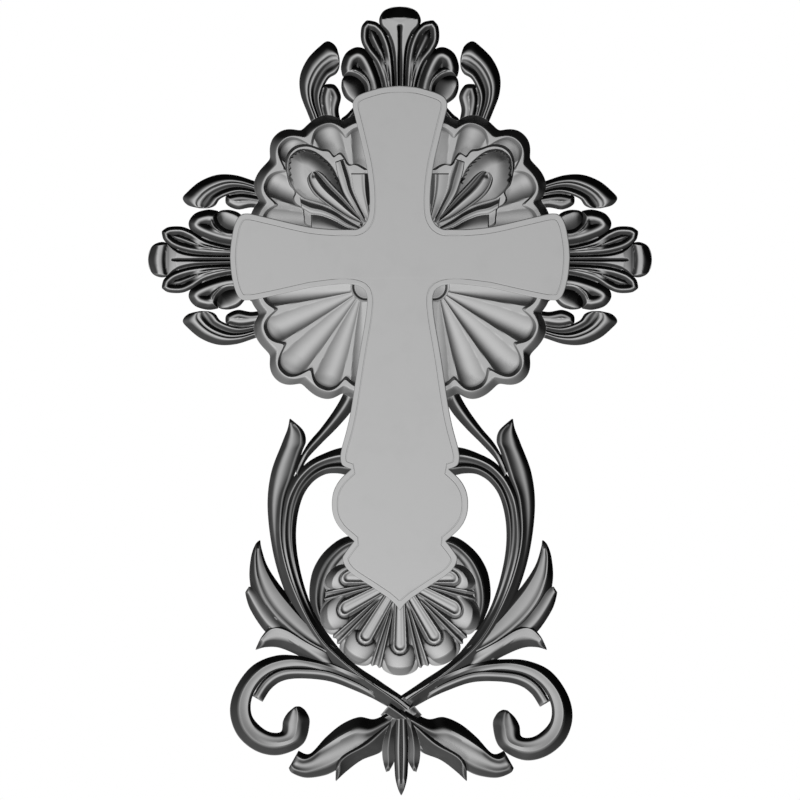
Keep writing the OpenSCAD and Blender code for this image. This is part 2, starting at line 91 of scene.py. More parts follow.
def curve(points, steps):
    """steps + 1 points spaced evenly along the smooth curve through points."""
    p = np.array(points, float)
    run = np.concatenate([[0], np.cumsum(np.linalg.norm(np.diff(p, axis=0), axis=1))])
    s = np.linspace(0, run[-1], steps + 1)
    i = np.clip(np.searchsorted(run, s, side="right") - 1, 0, len(p) - 2)
    t = ((s - run[i]) / (run[i + 1] - run[i]))[:, None]
    a, b, c, d = p[np.maximum(i - 1, 0)], p[i], p[i + 1], p[np.minimum(i + 2, len(p) - 1)]
    second, third = 2 * a - 5 * b + 4 * c - d, 3 * b - a - 3 * c + d
    return 0.5 * (2 * b + (c - a) * t + second * t**2 + third * t**3)


def mirrored(points, axis=0.0):
    """The points on the other side of an upright axis."""
    return [[2 * axis - x, z] for x, z in points]


def same(points):
    """The points where they are: the turn of the top crest."""
    return points


def mix(a, b, t):
    """a where t is 0 and b where t is 1."""
    return a + (b - a) * t


def smooth(t):
    """0 to 1, level at both ends."""
    t = np.clip(t, 0, 1)
    return t * t * (3 - 2 * t)


def quarter(t):
    """0 to 1 like a quarter circle, steep at the start and level at the end."""
    return np.sqrt(1 - (1 - np.clip(t, 0, 1)) ** 2)


def bump_at(x, middle, width):
    """1 at the middle, falling to 0 on both sides over about two widths."""
    return np.exp(-(((x - middle) / width) ** 2))


def to_frame(x, z, height):
    """Drawn mm to the frame's metres."""
    return np.stack([x * WIDE, -height * np.ones_like(x), z * TALL], axis=-1) * MM


# ---- sections across a leaf ----

# A section is a list of (place across, height, "sharp" or "round"), from the first edge to the second.
# A profile is the same over the distance from the edge, in mm.


def section_heights(section, u):
    """Height at each place u across, rounded or creased at the section's knots."""
    h = np.zeros_like(u)
    for (u0, h0, kind0), (u1, h1, kind1) in zip(section, section[1:]):
        x = np.clip((u - u0) / (u1 - u0), 0, 1)
        if kind0 == "round" and kind1 == "round":
            blend = (1 - np.cos(np.pi * x)) / 2
        elif kind0 == "sharp" and kind1 == "round":
            blend = np.sin(np.pi * x / 2)
        elif kind0 == "round":
            blend = 1 - np.cos(np.pi * x / 2)
        else:
            blend = x
        h = np.where((u >= u0) & (u <= u1), mix(h0, h1, blend), h)
    return h


def two_flanks(*knots):
    """Section that slopes down to the foot at both edges."""
    return [(0, EDGE, "sharp"), *knots, (1, EDGE, "sharp")]


def other_hand(section):
    """The section seen from its other edge."""
    return [(1 - u, h, kind) for u, h, kind in reversed(section)]


# ---- closed relief solids ----


def grid_solid(x, z, height):
    """Closed solid with a flat back. The first and last columns of the grids x, z and height are its long
    edges."""
    rows, cols = x.shape
    top = to_frame(x, z, height).reshape(-1, 3)
    edge = to_frame(x[:, [0, -1]], z[:, [0, -1]], np.zeros((rows, 2))).reshape(-1, 3)
    o = rows * cols
    faces = []
    for j in range(rows - 1):
        for k in range(cols - 1):
            q = j * cols + k
            faces.append((q, q + cols, q + cols + 1, q + 1))
        b = o + 2 * j
        faces.append((b, b + 1, b + 3, b + 2))
        faces.append((b, b + 2, (j + 1) * cols, j * cols))
        faces.append((j * cols + cols - 1, (j + 1) * cols + cols - 1, b + 3, b + 1))
    faces.append(tuple([o] + list(range(cols)) + [o + 1]))
    last = (rows - 1) * cols
    faces.append(tuple([o + 2 * rows - 1] + list(range(last + cols - 1, last - 1, -1)) + [o + 2 * rows - 2]))
    return np.concatenate([top, edge]), faces


def leaf(edges, section, tip_section=None, turn=0.6, cap=9.0, root_cap=0.0, along=56, across=26, shape=None,
         steep=1.6):
    """Leaf between two smooth edges that run from its root to its tip. Beyond the share turn of its length
    its section changes into tip_section, and it is rounded off over the last cap mm, as over the first
    root_cap mm. Its height is at most steep times its width. shape(u, t, height) may change the heights."""
    a, b = curve(edges[0], along), curve(edges[1], along)
    spread = (1 - np.cos(np.linspace(0, np.pi, across + 1))) / 2
    u, t = np.meshgrid(0.5 * spread + 0.5 * np.linspace(0, 1, across + 1), np.linspace(0, 1, along + 1))
    h = section_heights(section, u)
    if tip_section:
        h = mix(h, section_heights(tip_section, u), smooth((t - turn) / (1 - turn)))
    if shape:
        h = shape(u, t, h)
    middle = (a + b) / 2
    length = np.linalg.norm(np.diff(middle, axis=0), axis=1).sum()
    if cap:
        h = EDGE + (h - EDGE) * quarter((1 - t) * length / cap)
    if root_cap:
        h = EDGE + (h - EDGE) * quarter(t * length / root_cap)
    width = np.linalg.norm(b - a, axis=1)[:, None]
    h = np.minimum(h, EDGE + steep * width)
    x = a[:, :1] * (1 - u) + b[:, :1] * u
    z = a[:, 1:] * (1 - u) + b[:, 1:] * u
    return grid_solid(x, z, np.clip(h, LOWEST, TOP_LIMIT))


def distance_to_line(points, line):
    """Distance of each point from a line of points, in mm."""
    a, b = line[:-1], line[1:]
    run = b - a
    share = ((points[:, None] - a) * run).sum(axis=2) / np.maximum((run**2).sum(axis=1), 1e-9)
    nearest = a + run * np.clip(share, 0, 1)[..., None]
    return np.linalg.norm(points[:, None] - nearest, axis=2).min(axis=1)


def rimmed_leaf(edges, profile, ridges=(), lean=(1, 1), along=80, across=36, shape=None):
    """Leaf whose height follows a profile from its edges and tip, so that its rim loops round the tip. lean
    is how much wider its flanks are at the first and the second edge. Each ridge is (place across, half
    width, height, where along it ends). shape(u, t, height, gap) may change the heights."""
    a, b = curve(edges[0], along), curve(edges[1], along)
    evenly = np.linspace(0, 1, across + 1)
    places = 0.6 * (1 - np.cos(np.pi * evenly)) / 2 + 0.4 * evenly
    u, t = np.meshgrid(places, np.linspace(0, 1, along + 1) ** 0.9)
    row = t[:, 0] * along
    low = np.clip(np.floor(row).astype(int), 0, along - 1)
    part = (row - low)[:, None]
    a, b = mix(a[low], a[low + 1], part), mix(b[low], b[low + 1], part)
    x = a[:, :1] * (1 - u) + b[:, :1] * u
    z = a[:, 1:] * (1 - u) + b[:, 1:] * u
    points = np.stack([x, z], axis=-1).reshape(-1, 2)
    tip = (a[-1:] + b[-1:]) / 2
    gap = np.minimum(distance_to_line(points, np.concatenate([a, tip])) / lean[0],
                     distance_to_line(points, np.concatenate([b, tip])) / lean[1]).reshape(x.shape)
    h = section_heights(profile, np.clip(gap, profile[0][0], profile[-1][0] - 1e-6))
    for place, half, rise, end in ridges:
        fade = smooth((end - t) / 0.12) * smooth((gap - profile[1][0]) / 2.5)
        h = h + rise * bump_at(u, place, half) * fade
    if shape:
        h = shape(u, t, h, gap)
    return grid_solid(x, z, np.clip(h, LOWEST, TOP_LIMIT))


def block(points, height, base=0.0):
    """Upright block with the plan outline points, from the base to the height over the wall."""
    p = np.array(points, float)
    n = len(p)
    low, high = (to_frame(p[:, 0], p[:, 1], np.full(n, level)) for level in (base, height))
    sides = [(i, (i + 1) % n, n + (i + 1) % n, n + i) for i in range(n)]
    return np.concatenate([low, high]), sides + [tuple(range(n - 1, -1, -1)), tuple(range(n, 2 * n))]


def cylinder(radius, low, high, level):
    """Upright round block about the plate's axis, at a level up the cross."""
    turn = np.linspace(0, 2 * np.pi, 65)[:-1]
    ring = np.stack([radius * np.cos(turn), level + radius * np.sin(turn)], axis=1)
    return block(ring, high, base=low)


def room(points):
    """Room that an outline takes, from behind the wall plane to above the seat."""
    return block(points, SEAT + SPARE, base=-SPARE)


def leaf_outline(edges, along=60):
    """Closed outline of a leaf."""
    return np.concatenate([curve(edges[0], along), curve(edges[1], along)[::-1]])


def ringed_solid(x, z, height):
    """Closed solid with a flat back, from grids whose rows are rings and whose first row is the middle."""
    rings, sides = x.shape
    top = to_frame(x, z, height)
    back = to_frame(x[-1], z[-1], np.zeros(sides))
    pairs = [(k, (k + 1) % sides) for k in range(sides)]
    faces = [(0, 1 + k, 1 + n) for k, n in pairs]
    for j in range(rings - 1):
        q = 1 + j * sides
        faces += [(q + k, q + sides + k, q + sides + n, q + n) for k, n in pairs]
    q = 1 + (rings - 1) * sides
    faces.append(tuple(range(q, q + sides)))
    return np.concatenate([top[0, :1], top[1:].reshape(-1, 3), back]), faces


def round_boss(centre, r, height, sides):
    """Boss with a flat back, from a column of radii and the heights at them."""
    turn = np.radians(np.linspace(-180, 180, sides + 1))[:-1]
    x, z = centre[0] + r * np.cos(turn), centre[1] + r * np.sin(turn)
    return ringed_solid(x, z, height * np.ones_like(x))


def flipped(solid):
    """The same solid mirrored in x."""
    points, faces = solid
    return points * [-1, 1, 1], [tuple(reversed(f)) for f in faces]


def upside_down(solid):
    """The solid, or the step with a solid, mirrored in z."""
    if isinstance(solid[0], str):
        return solid[0], upside_down(solid[1])
    points, faces = solid
    return points * [1, 1, -1], [tuple(reversed(f)) for f in faces]


# ---- pieces ----

CREASE, PLATE_CREASE = 32, 22  # degrees over which an edge is drawn sharp


def solid_object(name, solid):
    """Object from a solid, with its faces turned outward."""
    mesh = bpy.data.meshes.new(name)
    mesh.from_pydata([tuple(p) for p in solid[0]], [], solid[1])
    maker = bmesh.new()
    maker.from_mesh(mesh)
    bmesh.ops.remove_doubles(maker, verts=maker.verts, dist=1e-7)
    bmesh.ops.dissolve_degenerate(maker, edges=maker.edges, dist=1e-7)
    bmesh.ops.recalc_face_normals(maker, faces=maker.faces)
    bmesh.ops.triangulate(maker, faces=[f for f in maker.faces if len(f.verts) > 4])
    maker.to_mesh(mesh)
    maker.free()
    made = bpy.data.objects.new(name, mesh)
    bpy.context.scene.collection.objects.link(made)
    return made


def join(made, operation, solid):
    """Adds a solid to an object, or takes it off."""
    other = solid_object("part", solid)
    step = made.modifiers.new("join", "BOOLEAN")
    step.operation = operation
    step.solver = "MANIFOLD"
    step.object = other
    bpy.context.view_layer.update()
    evaluated = made.evaluated_get(bpy.context.evaluated_depsgraph_get())
    old = made.data
    mesh = bpy.data.meshes.new_from_object(evaluated)
    made.modifiers.clear()
    made.data = mesh
    bpy.data.meshes.remove(old)
    bpy.data.objects.remove(other)


def taken_off(solids):
    """Steps that cut the solids off what was made before them."""
    return [("DIFFERENCE", solid) for solid in solids]


def dress(made, material, crease):
    """Gives a piece its material and its smooth shading."""
    made.data.name = made.name
    made.data.materials.clear()
    made.data.materials.append(material)
    made.data.shade_smooth()
    made.data.set_sharp_from_angle(angle=math.radians(crease))


def stand_in(made, node):
    """Puts a piece in its CAD node's stead."""
    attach(made, "root")
    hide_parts(node)


def piece(name, solids, material, cut=()):
    """One casting from the union of its solids, less the solids in cut, in place of the node of its name."""
    steps = [s if isinstance(s[0], str) else ("UNION", s) for s in solids] + taken_off(cut)
    made = solid_object(name, steps[0][1])
    for operation, solid in steps[1:]:
        join(made, operation, solid)
    dress(made, material, CREASE)
    stand_in(made, name)
    return made


def both_sides(name, solids, material, cut=()):
    """A piece on the left, and its mirror image on the right."""
    made = piece(name, solids, material, cut)
    other = name.replace("left", "right")
    mesh = made.data.copy()
    mesh.name = other
    maker = bmesh.new()
    maker.from_mesh(mesh)
    for v in maker.verts:
        v.co.x = -v.co.x
    bmesh.ops.reverse_faces(maker, faces=maker.faces)
    maker.to_mesh(mesh)
    maker.free()
    copy = bpy.data.objects.new(other, mesh)
    bpy.context.scene.collection.objects.link(copy)
    stand_in(copy, other)


# ---- shader maths ----


class Value:
    """A socket that can be used in expressions."""

    def __init__(self, tree, socket):
        self.tree = tree
        self.socket = socket

    def _math(self, operation, a, b):
        """A sum, difference or product of two values."""
        return self.tree.node("ShaderNodeMath", {"operation": operation}, {0: a, 1: b})

    def __add__(self, other):
        return self._math("ADD", self, other)

    def __radd__(self, other):
        return self._math("ADD", other, self)

    def __sub__(self, other):
        return self._math("SUBTRACT", self, other)

    def __rsub__(self, other):
        return self._math("SUBTRACT", other, self)

    def __mul__(self, other):
        return self._math("MULTIPLY", self, other)

    def __rmul__(self, other):
        return self._math("MULTIPLY", other, self)


class Tree:
    """The nodes of a material or a world."""

    def __init__(self, owner):
        owner.use_nodes = True
        self.nodes = owner.node_tree.nodes
        self.links = owner.node_tree.links
        self.nodes.clear()

    def node(self, kind, settings=None, inputs=None, output=0):
        """Makes a node, sets its settings and then its sockets, and gives its output as a Value."""
        made = self.nodes.new(kind)
        for key, value in (settings or {}).items():
            setattr(made, key, value)
        for key, value in (inputs or {}).items():
            if isinstance(value, Value):
                self.links.new(value.socket, made.inputs[key])
            else:
                made.inputs[key].default_value = value
        return Value(self, made.outputs[output]) if len(made.outputs) else None

    def noise(self, place, scale, detail, roughness):
        """Noise in the piece's own coordinates."""
        return self.node("ShaderNodeTexNoise", {"noise_dimensions": "3D"},
                         {"Vector": place, "Scale": scale, "Detail": detail, "Roughness": roughness})

    def share(self, value, low, high):
        """0 where the value is low, 1 where it is high."""
        return self.node("ShaderNodeMapRange", inputs={0: value, 1: low, 2: high, 3: 0.0, 4: 1.0})

    def between(self, amount, low, high):
        """Colour between two greys or colours."""
        return self.node("ShaderNodeMix", {"data_type": "RGBA"}, {0: amount, 6: low, 7: high}, 2)


def grey(level):
    """Colour of a grey."""
    return (level, level, level, 1)


CLOUD_SCALE, GRAIN_SCALE = 38.0, 900.0
CLOUD_TONE = 0.18
CLOUD_ROUGH, GRAIN_ROUGH, RUBBED_SMOOTH = 0.16, 0.06, 0.08
CLOUD_BUMP, GRAIN_BUMP, BUMP_DEPTH = 0.4, 0.6, 0.0004
RUBBED_FROM, RUBBED_TO = 0.505, 0.56
# Pointiness over which creases are darkened towards the steep grey: painted shade.
CREASE_SHADE_FROM, CREASE_SHADE_TO = 0.49, 0.44


def iron(name, steep, face, worn, roughness, painted_shade_till, grain=0.1, wear_and_crease_shade=0.45):
    """Iron with a fine cast grain and painted shade: paler on what faces forward or back and darker, the
    steeper it stands. steep, face and worn are the greys of a steep side in painted shade, a face and a
    rubbed edge. painted_shade_till is how far forward a side may lean and still be wholly in painted shade.
    rub is how much the worn edges and the painted shade in the creases show."""
    material = bpy.data.materials.new(name)
    tree = Tree(material)
    place = tree.node("ShaderNodeTexCoord", output="Object")
    normal = tree.node("ShaderNodeNewGeometry", output="Normal")
    forward = tree.node("ShaderNodeSeparateXYZ", inputs={0: normal}, output="Y")
    forward = tree.node("ShaderNodeMath", {"operation": "ABSOLUTE"}, {0: forward})
    # Painted shade: the steeper a side stands, the nearer its colour comes to the steep grey.
    painted_lit_share = tree.share(forward, painted_shade_till, 1.0)
    cloud = tree.noise(place, CLOUD_SCALE, 6.0, 0.6)
    fine = tree.noise(place, GRAIN_SCALE, 4.0, 0.65)
    edge = tree.node("ShaderNodeNewGeometry", output="Pointiness")
    rubbed = tree.share(edge, RUBBED_FROM, RUBBED_TO)
    hollow = tree.share(edge, CREASE_SHADE_FROM, CREASE_SHADE_TO)
    tone = tree.between(painted_lit_share + (cloud - 0.5) * CLOUD_TONE, grey(steep), grey(face))
    tone = tree.between(rubbed * wear_and_crease_shade, tone, grey(worn))
    # Painted shade in the creases, darkened towards the steep grey.
    tone = tree.between(hollow * (wear_and_crease_shade * 2), tone, grey(steep))
    rough = (cloud - 0.5) * CLOUD_ROUGH + fine * GRAIN_ROUGH + roughness - rubbed * RUBBED_SMOOTH
    normal = tree.node("ShaderNodeBump", inputs={
        "Strength": grain, "Distance": BUMP_DEPTH, "Height": fine * GRAIN_BUMP + cloud * CLOUD_BUMP})
    shader = tree.node("ShaderNodeBsdfPrincipled", inputs={
        "Base Color": tone, "Roughness": rough, "Metallic": 0.0, "Specular IOR Level": 0.0, "Normal": normal})
    tree.node("ShaderNodeOutputMaterial", inputs={"Surface": shader})
    return material


# Each iron's steep grey and painted_shade_till set how much shade is painted on its steep sides. The crest
# and stem irons paint it darker and over more of each side, and the stem iron's faces are darker too.
ornament_iron = iron("ornament_iron", steep=0.14, face=0.42, worn=0.52, roughness=0.45, painted_shade_till=0.35)
crest_iron = iron("crest_iron", steep=0.045, face=0.42, worn=0.52, roughness=0.45, painted_shade_till=0.5)
stem_iron = iron("stem_iron", steep=0.045, face=0.36, worn=0.46, roughness=0.5, painted_shade_till=0.66)
cross_iron = iron("cross_iron", steep=0.12, face=0.43, worn=0.50, roughness=0.5, painted_shade_till=0.3, grain=0.06,
                  wear_and_crease_shade=0.0)

# ---- large shells ----

ROOT = np.array([-38.0, -33.0])
CORNER = np.array([-34.0, -29.5])
LOBE_PITCH = 22.2
FIRST_NOTCH = -9.4
LOBES = 5
TUCK = 8
NOTCH_ROUND = 0.3
NOTCH_OUT, LOBE_OUT = [104, 106, 113, 112, 105.5, 102], [112, 116, 124, 115.5, 110]
NOTCH_IN, LOBE_IN = [84, 90, 96, 96, 91.5, 86], [100, 106, 115, 107, 98]
OUTER_FULL, INNER_FULL = 2.2, 2.6
WALL_W = 3.8
RIM_TOP = 24.0
RIM_SLOPE = 8.5
RIDGE_H = 17.6
SCOOP_DEEP, SCOOP_FULL_AT = 9.5, 92
FILLET = 6
MIDDLE_R = 3
CORNER_BOSS_R, CORNER_ROOM_R, CORNER_FLOOR = 16.0, 15.5, 3
LEDGE = [[-126, -15], [-24, -15], [-24, -120], [-30, -120], [-29, -26], [-126, -26]]


def reach(notch, lobe, across, fullness):
    """Distance of a scalloped line from the root, at each place across the fan in lobes. The lobes are the
    fuller, the higher the fullness, and the notches between them are rounded."""
    i = np.clip(np.floor(across).astype(int), 0, LOBES - 1)
    t = across - i
    notch, lobe = np.array(notch, float), np.array(lobe, float)
    base = mix(notch[i], notch[i + 1], t)
    share = 1 - np.abs(2 * t - 1) ** fullness
    rounded = (np.hypot(share, NOTCH_ROUND) - NOTCH_ROUND) / (math.hypot(1, NOTCH_ROUND) - NOTCH_ROUND)
    return base + (lobe[i] - base) * rounded


def shell_angle(across, r):
    """Angle from the outward direction, with the first and the last edge turned on under the flat cross."""
    ends = np.clip(1 - 3 * across, 0, 1) - np.clip(1 - 3 * (LOBES - across), 0, 1)
    return FIRST_NOTCH + LOBE_PITCH * across - (TUCK + np.degrees(MIDDLE_R / (r + MIDDLE_R))) * ends


def shell_solids():
    """Fan of flutes inside a raised scalloped rim, and the round boss at its root."""
    across = np.linspace(0, LOBES, 32 * LOBES + 1)
    outer = reach(NOTCH_OUT, LOBE_OUT, across, OUTER_FULL)
    inner = reach(NOTCH_IN, LOBE_IN, across, INNER_FULL)
    lobe_share = (across - np.floor(across))[:, None]
    from_middle = np.abs(2 * lobe_share - 1)
    inside = np.linspace(0, 1, 60)[None, :] ** 0.85
    step = np.linspace(0, 1, 7)[None, 1:]
    band = np.linspace(0, 1, 20)[None, 1:]
    r_in = MIDDLE_R + (inner[:, None] - MIDDLE_R - WALL_W) * inside
    r_wall = inner[:, None] - WALL_W * (1 - step)
    r_band = inner[:, None] + (outer - inner)[:, None] * band
    from_bottom = np.abs(2 * lobe_share - 1 - 0.1 * (1 - from_middle**2))
    flat = 0.07 + 0.2 * inside**2
    scoop = 1 - np.clip(from_bottom / (1 - flat), 0, 1) ** 2
    fillet = np.clip((r_in - (inner[:, None] - FILLET)) / FILLET, 0, 1)
    depth = SCOOP_DEEP * np.minimum(r_in / SCOOP_FULL_AT, 1)
    h_in = RIDGE_H + 0.7 * inside - depth * scoop * (1 - 0.4 * fillet**2)
    h_wall = mix(h_in[:, -1:], RIM_TOP, step ** 0.8)
    from_edge = (outer[:, None] - r_band) / RIM_SLOPE
    h_band = EDGE + (RIM_TOP - EDGE) * (1 - np.clip(1 - from_edge, 0, 1) ** 1.25)
    r = np.concatenate([r_in, r_wall, r_band], axis=1)
    h = np.concatenate([h_in, h_wall, h_band], axis=1)
    a = np.radians(shell_angle(across[:, None], r))
    fan = grid_solid(ROOT[0] - r * np.cos(a), ROOT[1] - r * np.sin(a), h)
    ring = np.linspace(0, 1, 40)[:, None]
    disc_h = 12.5 + 3.5 * ring**2 - 6 * bump_at(ring, 0.78, 0.04) + 2.8 * smooth((ring - 0.8) / 0.05)
    disc_h = disc_h - 5.0 * smooth((ring - 0.95) / 0.05)
    boss = round_boss(CORNER, CORNER_BOSS_R * ring, disc_h, 96)
    turn = np.radians(np.linspace(-180, 180, 97))[:-1]
    disc = CORNER + CORNER_ROOM_R * np.stack([np.cos(turn), np.sin(turn)], axis=1)
    return [fan] + taken_off([block(disc, SEAT, base=CORNER_FLOOR)]) + [boss, block(LEDGE, SEATED)]


def shell_room(upper):
    """Room that a large shell takes."""
    across = np.linspace(0, LOBES, 30 * LOBES + 1)
    outer = reach(NOTCH_OUT, LOBE_OUT, across, OUTER_FULL)
    angle = np.radians(shell_angle(across, outer))
    rim = [[ROOT[0] - r * math.cos(a), ROOT[1] - r * math.sin(a)] for r, a in zip(outer, angle)]
    made = room(rim + [[ROOT[0] + 5, ROOT[1] + 5]])
    return upside_down(made) if upper else made


# ---- palmettes on the upper shells ----

EYE = [
    [[-38, 33], [-52, 41], [-65, 47.7], [-78, 52.8], [-93.4, 57.1], [-101, 61.8], [-107.3, 69.1],
     [-111.2, 78.5], [-112.5, 90.5], [-110.6, 100.3], [-103.7, 106.8], [-97.7, 108.6]],
    [[-37, 34], [-47, 49], [-55.7, 63.1], [-60.8, 76.8], [-64.2, 85.4], [-69, 93], [-74.5, 98.4], [-80, 103],
     [-86, 106.6], [-92, 108.3], [-97, 108.7]]]
MIDDLE_PETAL = [
    [[-37, 33], [-52.2, 39.1], [-69.4, 49.4], [-83.1, 59.7], [-90, 68.2], [-92.9, 77], [-90.8, 82.8],
     [-87.4, 85]],
    [[-36, 35], [-43.7, 45.1], [-55.7, 60.5], [-65.1, 70.8], [-74.5, 81.1], [-80, 85.2], [-83.5, 86],
     [-86.8, 85.2]]]
UPPER_FROND = [
    [[-37, 33], [-47.1, 49.4], [-55.7, 63.1], [-60.8, 76.8], [-63.4, 86.3], [-64.7, 95.3]],
    [[-33, 36.5], [-41.9, 55.4], [-47.1, 68.2], [-49.7, 80], [-52.5, 89], [-56.1, 98.3]]]
OUTER_FROND = [
    [[-33, 36], [-41.1, 53.7], [-46.6, 68.2], [-48.9, 83.7]],
    [[-29, 39.1], [-30, 50], [-31, 64.8], [-31, 83.7]]]
LOWER_FROND = [
    [[-39, 30], [-52.2, 38.2], [-65.1, 46.8], [-78, 52.8], [-92.5, 57.1], [-100.3, 59.7]],
    [[-42, 27], [-54, 30.5], [-65.1, 36.7], [-78, 41.8], [-89.1, 43.5], [-98.8, 49.5]]]
FIELD = [
    [[-42, 26], [-54, 30], [-65.1, 36], [-78, 41], [-89, 42.5]],
    [[-42, 22], [-54, 23], [-66, 24], [-78, 25], [-89, 26]]]
PETAL = [(0, 14, "sharp"), (0.09, 24.8, "round"), (0.19, 20, "sharp"), (0.5, 24.3, "round"),
         (0.76, 12.5, "round"), (0.91, 24.6, "round"), (1, 14, "sharp")]
UPPER_SECTION = [(0, 19, "sharp"), (0.1, 21, "round"), (0.56, 24.5, "sharp"), (0.9, 10, "round"),
                 (1, 10, "sharp")]
OUTER_SECTION = [(0, 19, "sharp"), (0.55, 21.5, "round"), (0.72, 24, "round"), (0.85, 19, "sharp"),
                 (1, 8, "sharp")]
LOWER_SECTION = [(0, 10, "sharp"), (0.1, 10, "round"), (0.56, 24.5, "sharp"), (0.8, 21, "round"),
                 (1, 19, "sharp")]
FIELD_SECTION = [(0, 11, "sharp"), (0.7, 19.5, "round"), (1, 20, "sharp")]
EYE_RIM = [(0, 8, "sharp"), (1.5, 11.5, "sharp"), (17, 23.5, "round"), (24, 23.8, "round")]
COLLAR = [
    [-38, 30], [-29, 60], [-29, 86], [-33, 88], [-38.5, 91.4], [-43.7, 93.5], [-48.8, 92.5], [-52.2, 94.5],
    [-55.7, 100.8], [-59.1, 104.6], [-62.5, 103.5], [-66, 101.5], [-71.1, 107.2], [-78, 108.3],
    [-83.1, 109.9], [-90, 112.3], [-96.8, 113], [-105.4, 110.8], [-112, 104.3], [-114.8, 94], [-113.2, 82],
    [-110.6, 72], [-105.4, 65], [-107.4, 58], [-104.6, 52.5], [-97.5, 47.7], [-96.4, 40], [-92, 30],
    [-60, 26], [-38, 30]]
COLLAR_LINE = curve(COLLAR, 160)[:-1]
COLLAR_MIDDLE = [-76.0, 68.0]
COLLAR_H, COLLAR_DROP = 20.5, 14
TEETH, EYE_DROP = 20, 9


def toothed(u, t, h, gap):
    """Drops the edge of the eye round its top, along a line with small teeth."""
    teeth = 2.0 + 1.8 * (2 * np.abs((t * TEETH + 5 * u) % 1 - 0.5))
    round_top = smooth((t - np.where(u < 0.5, 0.66, 0.45)) / 0.08)
    return h - EYE_DROP * smooth((teeth - gap) / 0.8) * round_top


def petal(edges, section, shape=None):
    """Leaf with steep sides, for the palmette."""
    return leaf(edges, section, cap=2.0, along=80, across=30, shape=shape, steep=6)


def pinched(u, t, h):
    """Presses a hollow into the middle petal near its tip."""
    return h - 5.0 * bump_at(t, 0.9, 0.035) * bump_at(u, 0.45, 0.14)


def collar_solid():
    """Low plate with a rounded edge that the petals lie on."""
    ring = np.concatenate([np.linspace(0, 0.8, 5), np.linspace(0.82, 1, 16)])[:, None]
    away = COLLAR_LINE - COLLAR_MIDDLE
    x, z = COLLAR_MIDDLE[0] + away[:, 0] * ring, COLLAR_MIDDLE[1] + away[:, 1] * ring
    height = COLLAR_H - COLLAR_DROP * np.clip((ring - 0.94) / 0.06, 0, 1) ** 1.3
    return ringed_solid(x, z, height * np.ones_like(x))


def palmette_solids():
    """Petals on a low plate, round an eye that swells and drops to a toothed edge."""
    petals = [(UPPER_FROND, UPPER_SECTION), (OUTER_FROND, OUTER_SECTION), (LOWER_FROND, LOWER_SECTION),
              (FIELD, FIELD_SECTION)]
    outlines = [edges for edges, section in petals] + [MIDDLE_PETAL]
    made = [collar_solid()] + taken_off([room(leaf_outline(EYE))])
    made += [rimmed_leaf(EYE, EYE_RIM, along=150, across=90, shape=toothed)]
    made += taken_off([room(leaf_outline(edges)) for edges in outlines])
    return made + [petal(edges, section) for edges, section in petals] + [petal(MIDDLE_PETAL, PETAL, pinched)]


# ---- crests at the ends of the upper arms ----

SIDE_NARROWING, SIDE_LEVEL, SIDE_OUT = 0.85, -2.7, 1.5


def to_side(points):
    """The top crest's points turned to the left crest."""
    return [[-z - SIDE_OUT, SIDE_LEVEL + SIDE_NARROWING * x] for x, z in points]


def placed(edges, turn, hand=1):
    """Edges of a leaf after a turn, or of its mirror image where hand is -1."""
    if hand > 0:
        return [turn(edges[0]), turn(edges[1])]
    return [turn(mirrored(edges[1])), turn(mirrored(edges[0]))]


TONGUE = [[-5.5, 148], [-6, 185], [-8, 209], [-13, 223], [-19.5, 231], [-20.8, 238], [-17, 245.5],
          [-9, 249.6], [-0.5, 250.4]]
FROND_EDGES = [
    [[-16, 148], [-17.5, 171], [-24, 192], [-34, 206], [-39, 217], [-38.5, 230], [-34, 236.3]],
    [[-4, 148], [-5.3, 185], [-8, 208], [-14, 225], [-22, 234], [-29, 236.4], [-33, 236.7]]]
CURL = [
    [[-36, 152], [-36, 170], [-42, 178], [-48, 181], [-53, 181.3], [-56.5, 180.3]],
    [[-15, 152], [-19, 178], [-30, 203], [-42, 210], [-54, 204], [-59, 191], [-57.5, 180.5]]]
CURL_TIP = [
    [[-26, 152], [-33.5, 167], [-40, 177.5], [-48, 181.2], [-53, 181.3], [-56, 180.6]],
    [[-36, 148], [-47, 153.5], [-55, 159.5], [-58.5, 168], [-58.3, 176], [-56.5, 180]]]
SMALL_CURL = [
    [[-62, 132], [-58.5, 138.5], [-53.5, 142.5], [-47, 149.5]],
    [[-50, 132], [-49, 136], [-46, 141], [-42, 146]]]
TONGUE_RIM = [(0, EDGE, "sharp"), (3.4, 20, "round"), (30, 21.5, "round")]
FROND_RIM = [(0, EDGE, "sharp"), (3.8, 21, "round"), (8.5, 8.5, "sharp"), (20, 14, "round")]
CURL_RIM = [(0, EDGE, "sharp"), (6, 21.5, "round"), (12, 8.5, "sharp"), (30, 14, "round")]
BALL_SECTION = [(0, 4, "sharp"), (0.78, 20.5, "round"), (1, EDGE, "sharp")]
TOP_HEAD = [(0, 22, "sharp"), (239, 21, "sharp"), (250.8, EDGE, "sharp"), (260, EDGE, "sharp")]
SIDE_HEAD = [(0, 22, "round"), (218, 21.5, "round"), (235.4, 12, "sharp"), (239.8, 19.8, "round"),
             (242, 20.5, "round"), (250.8, EDGE, "sharp"), (260, EDGE, "sharp")]
TOP_SLOT_END, SIDE_SLOT_END = 233, 229
SLOT_DEEP = 11
TONGUE_STEPS = 120
CREST_WEB = [[-34, 152], [-32, 178], [-27, 196], [-18, 218], [-9, 222], [0, 224]]
CREST_SEAT = [[-30, 152], [30, 152], [30, 162], [-30, 162]]
WEB_H = 6


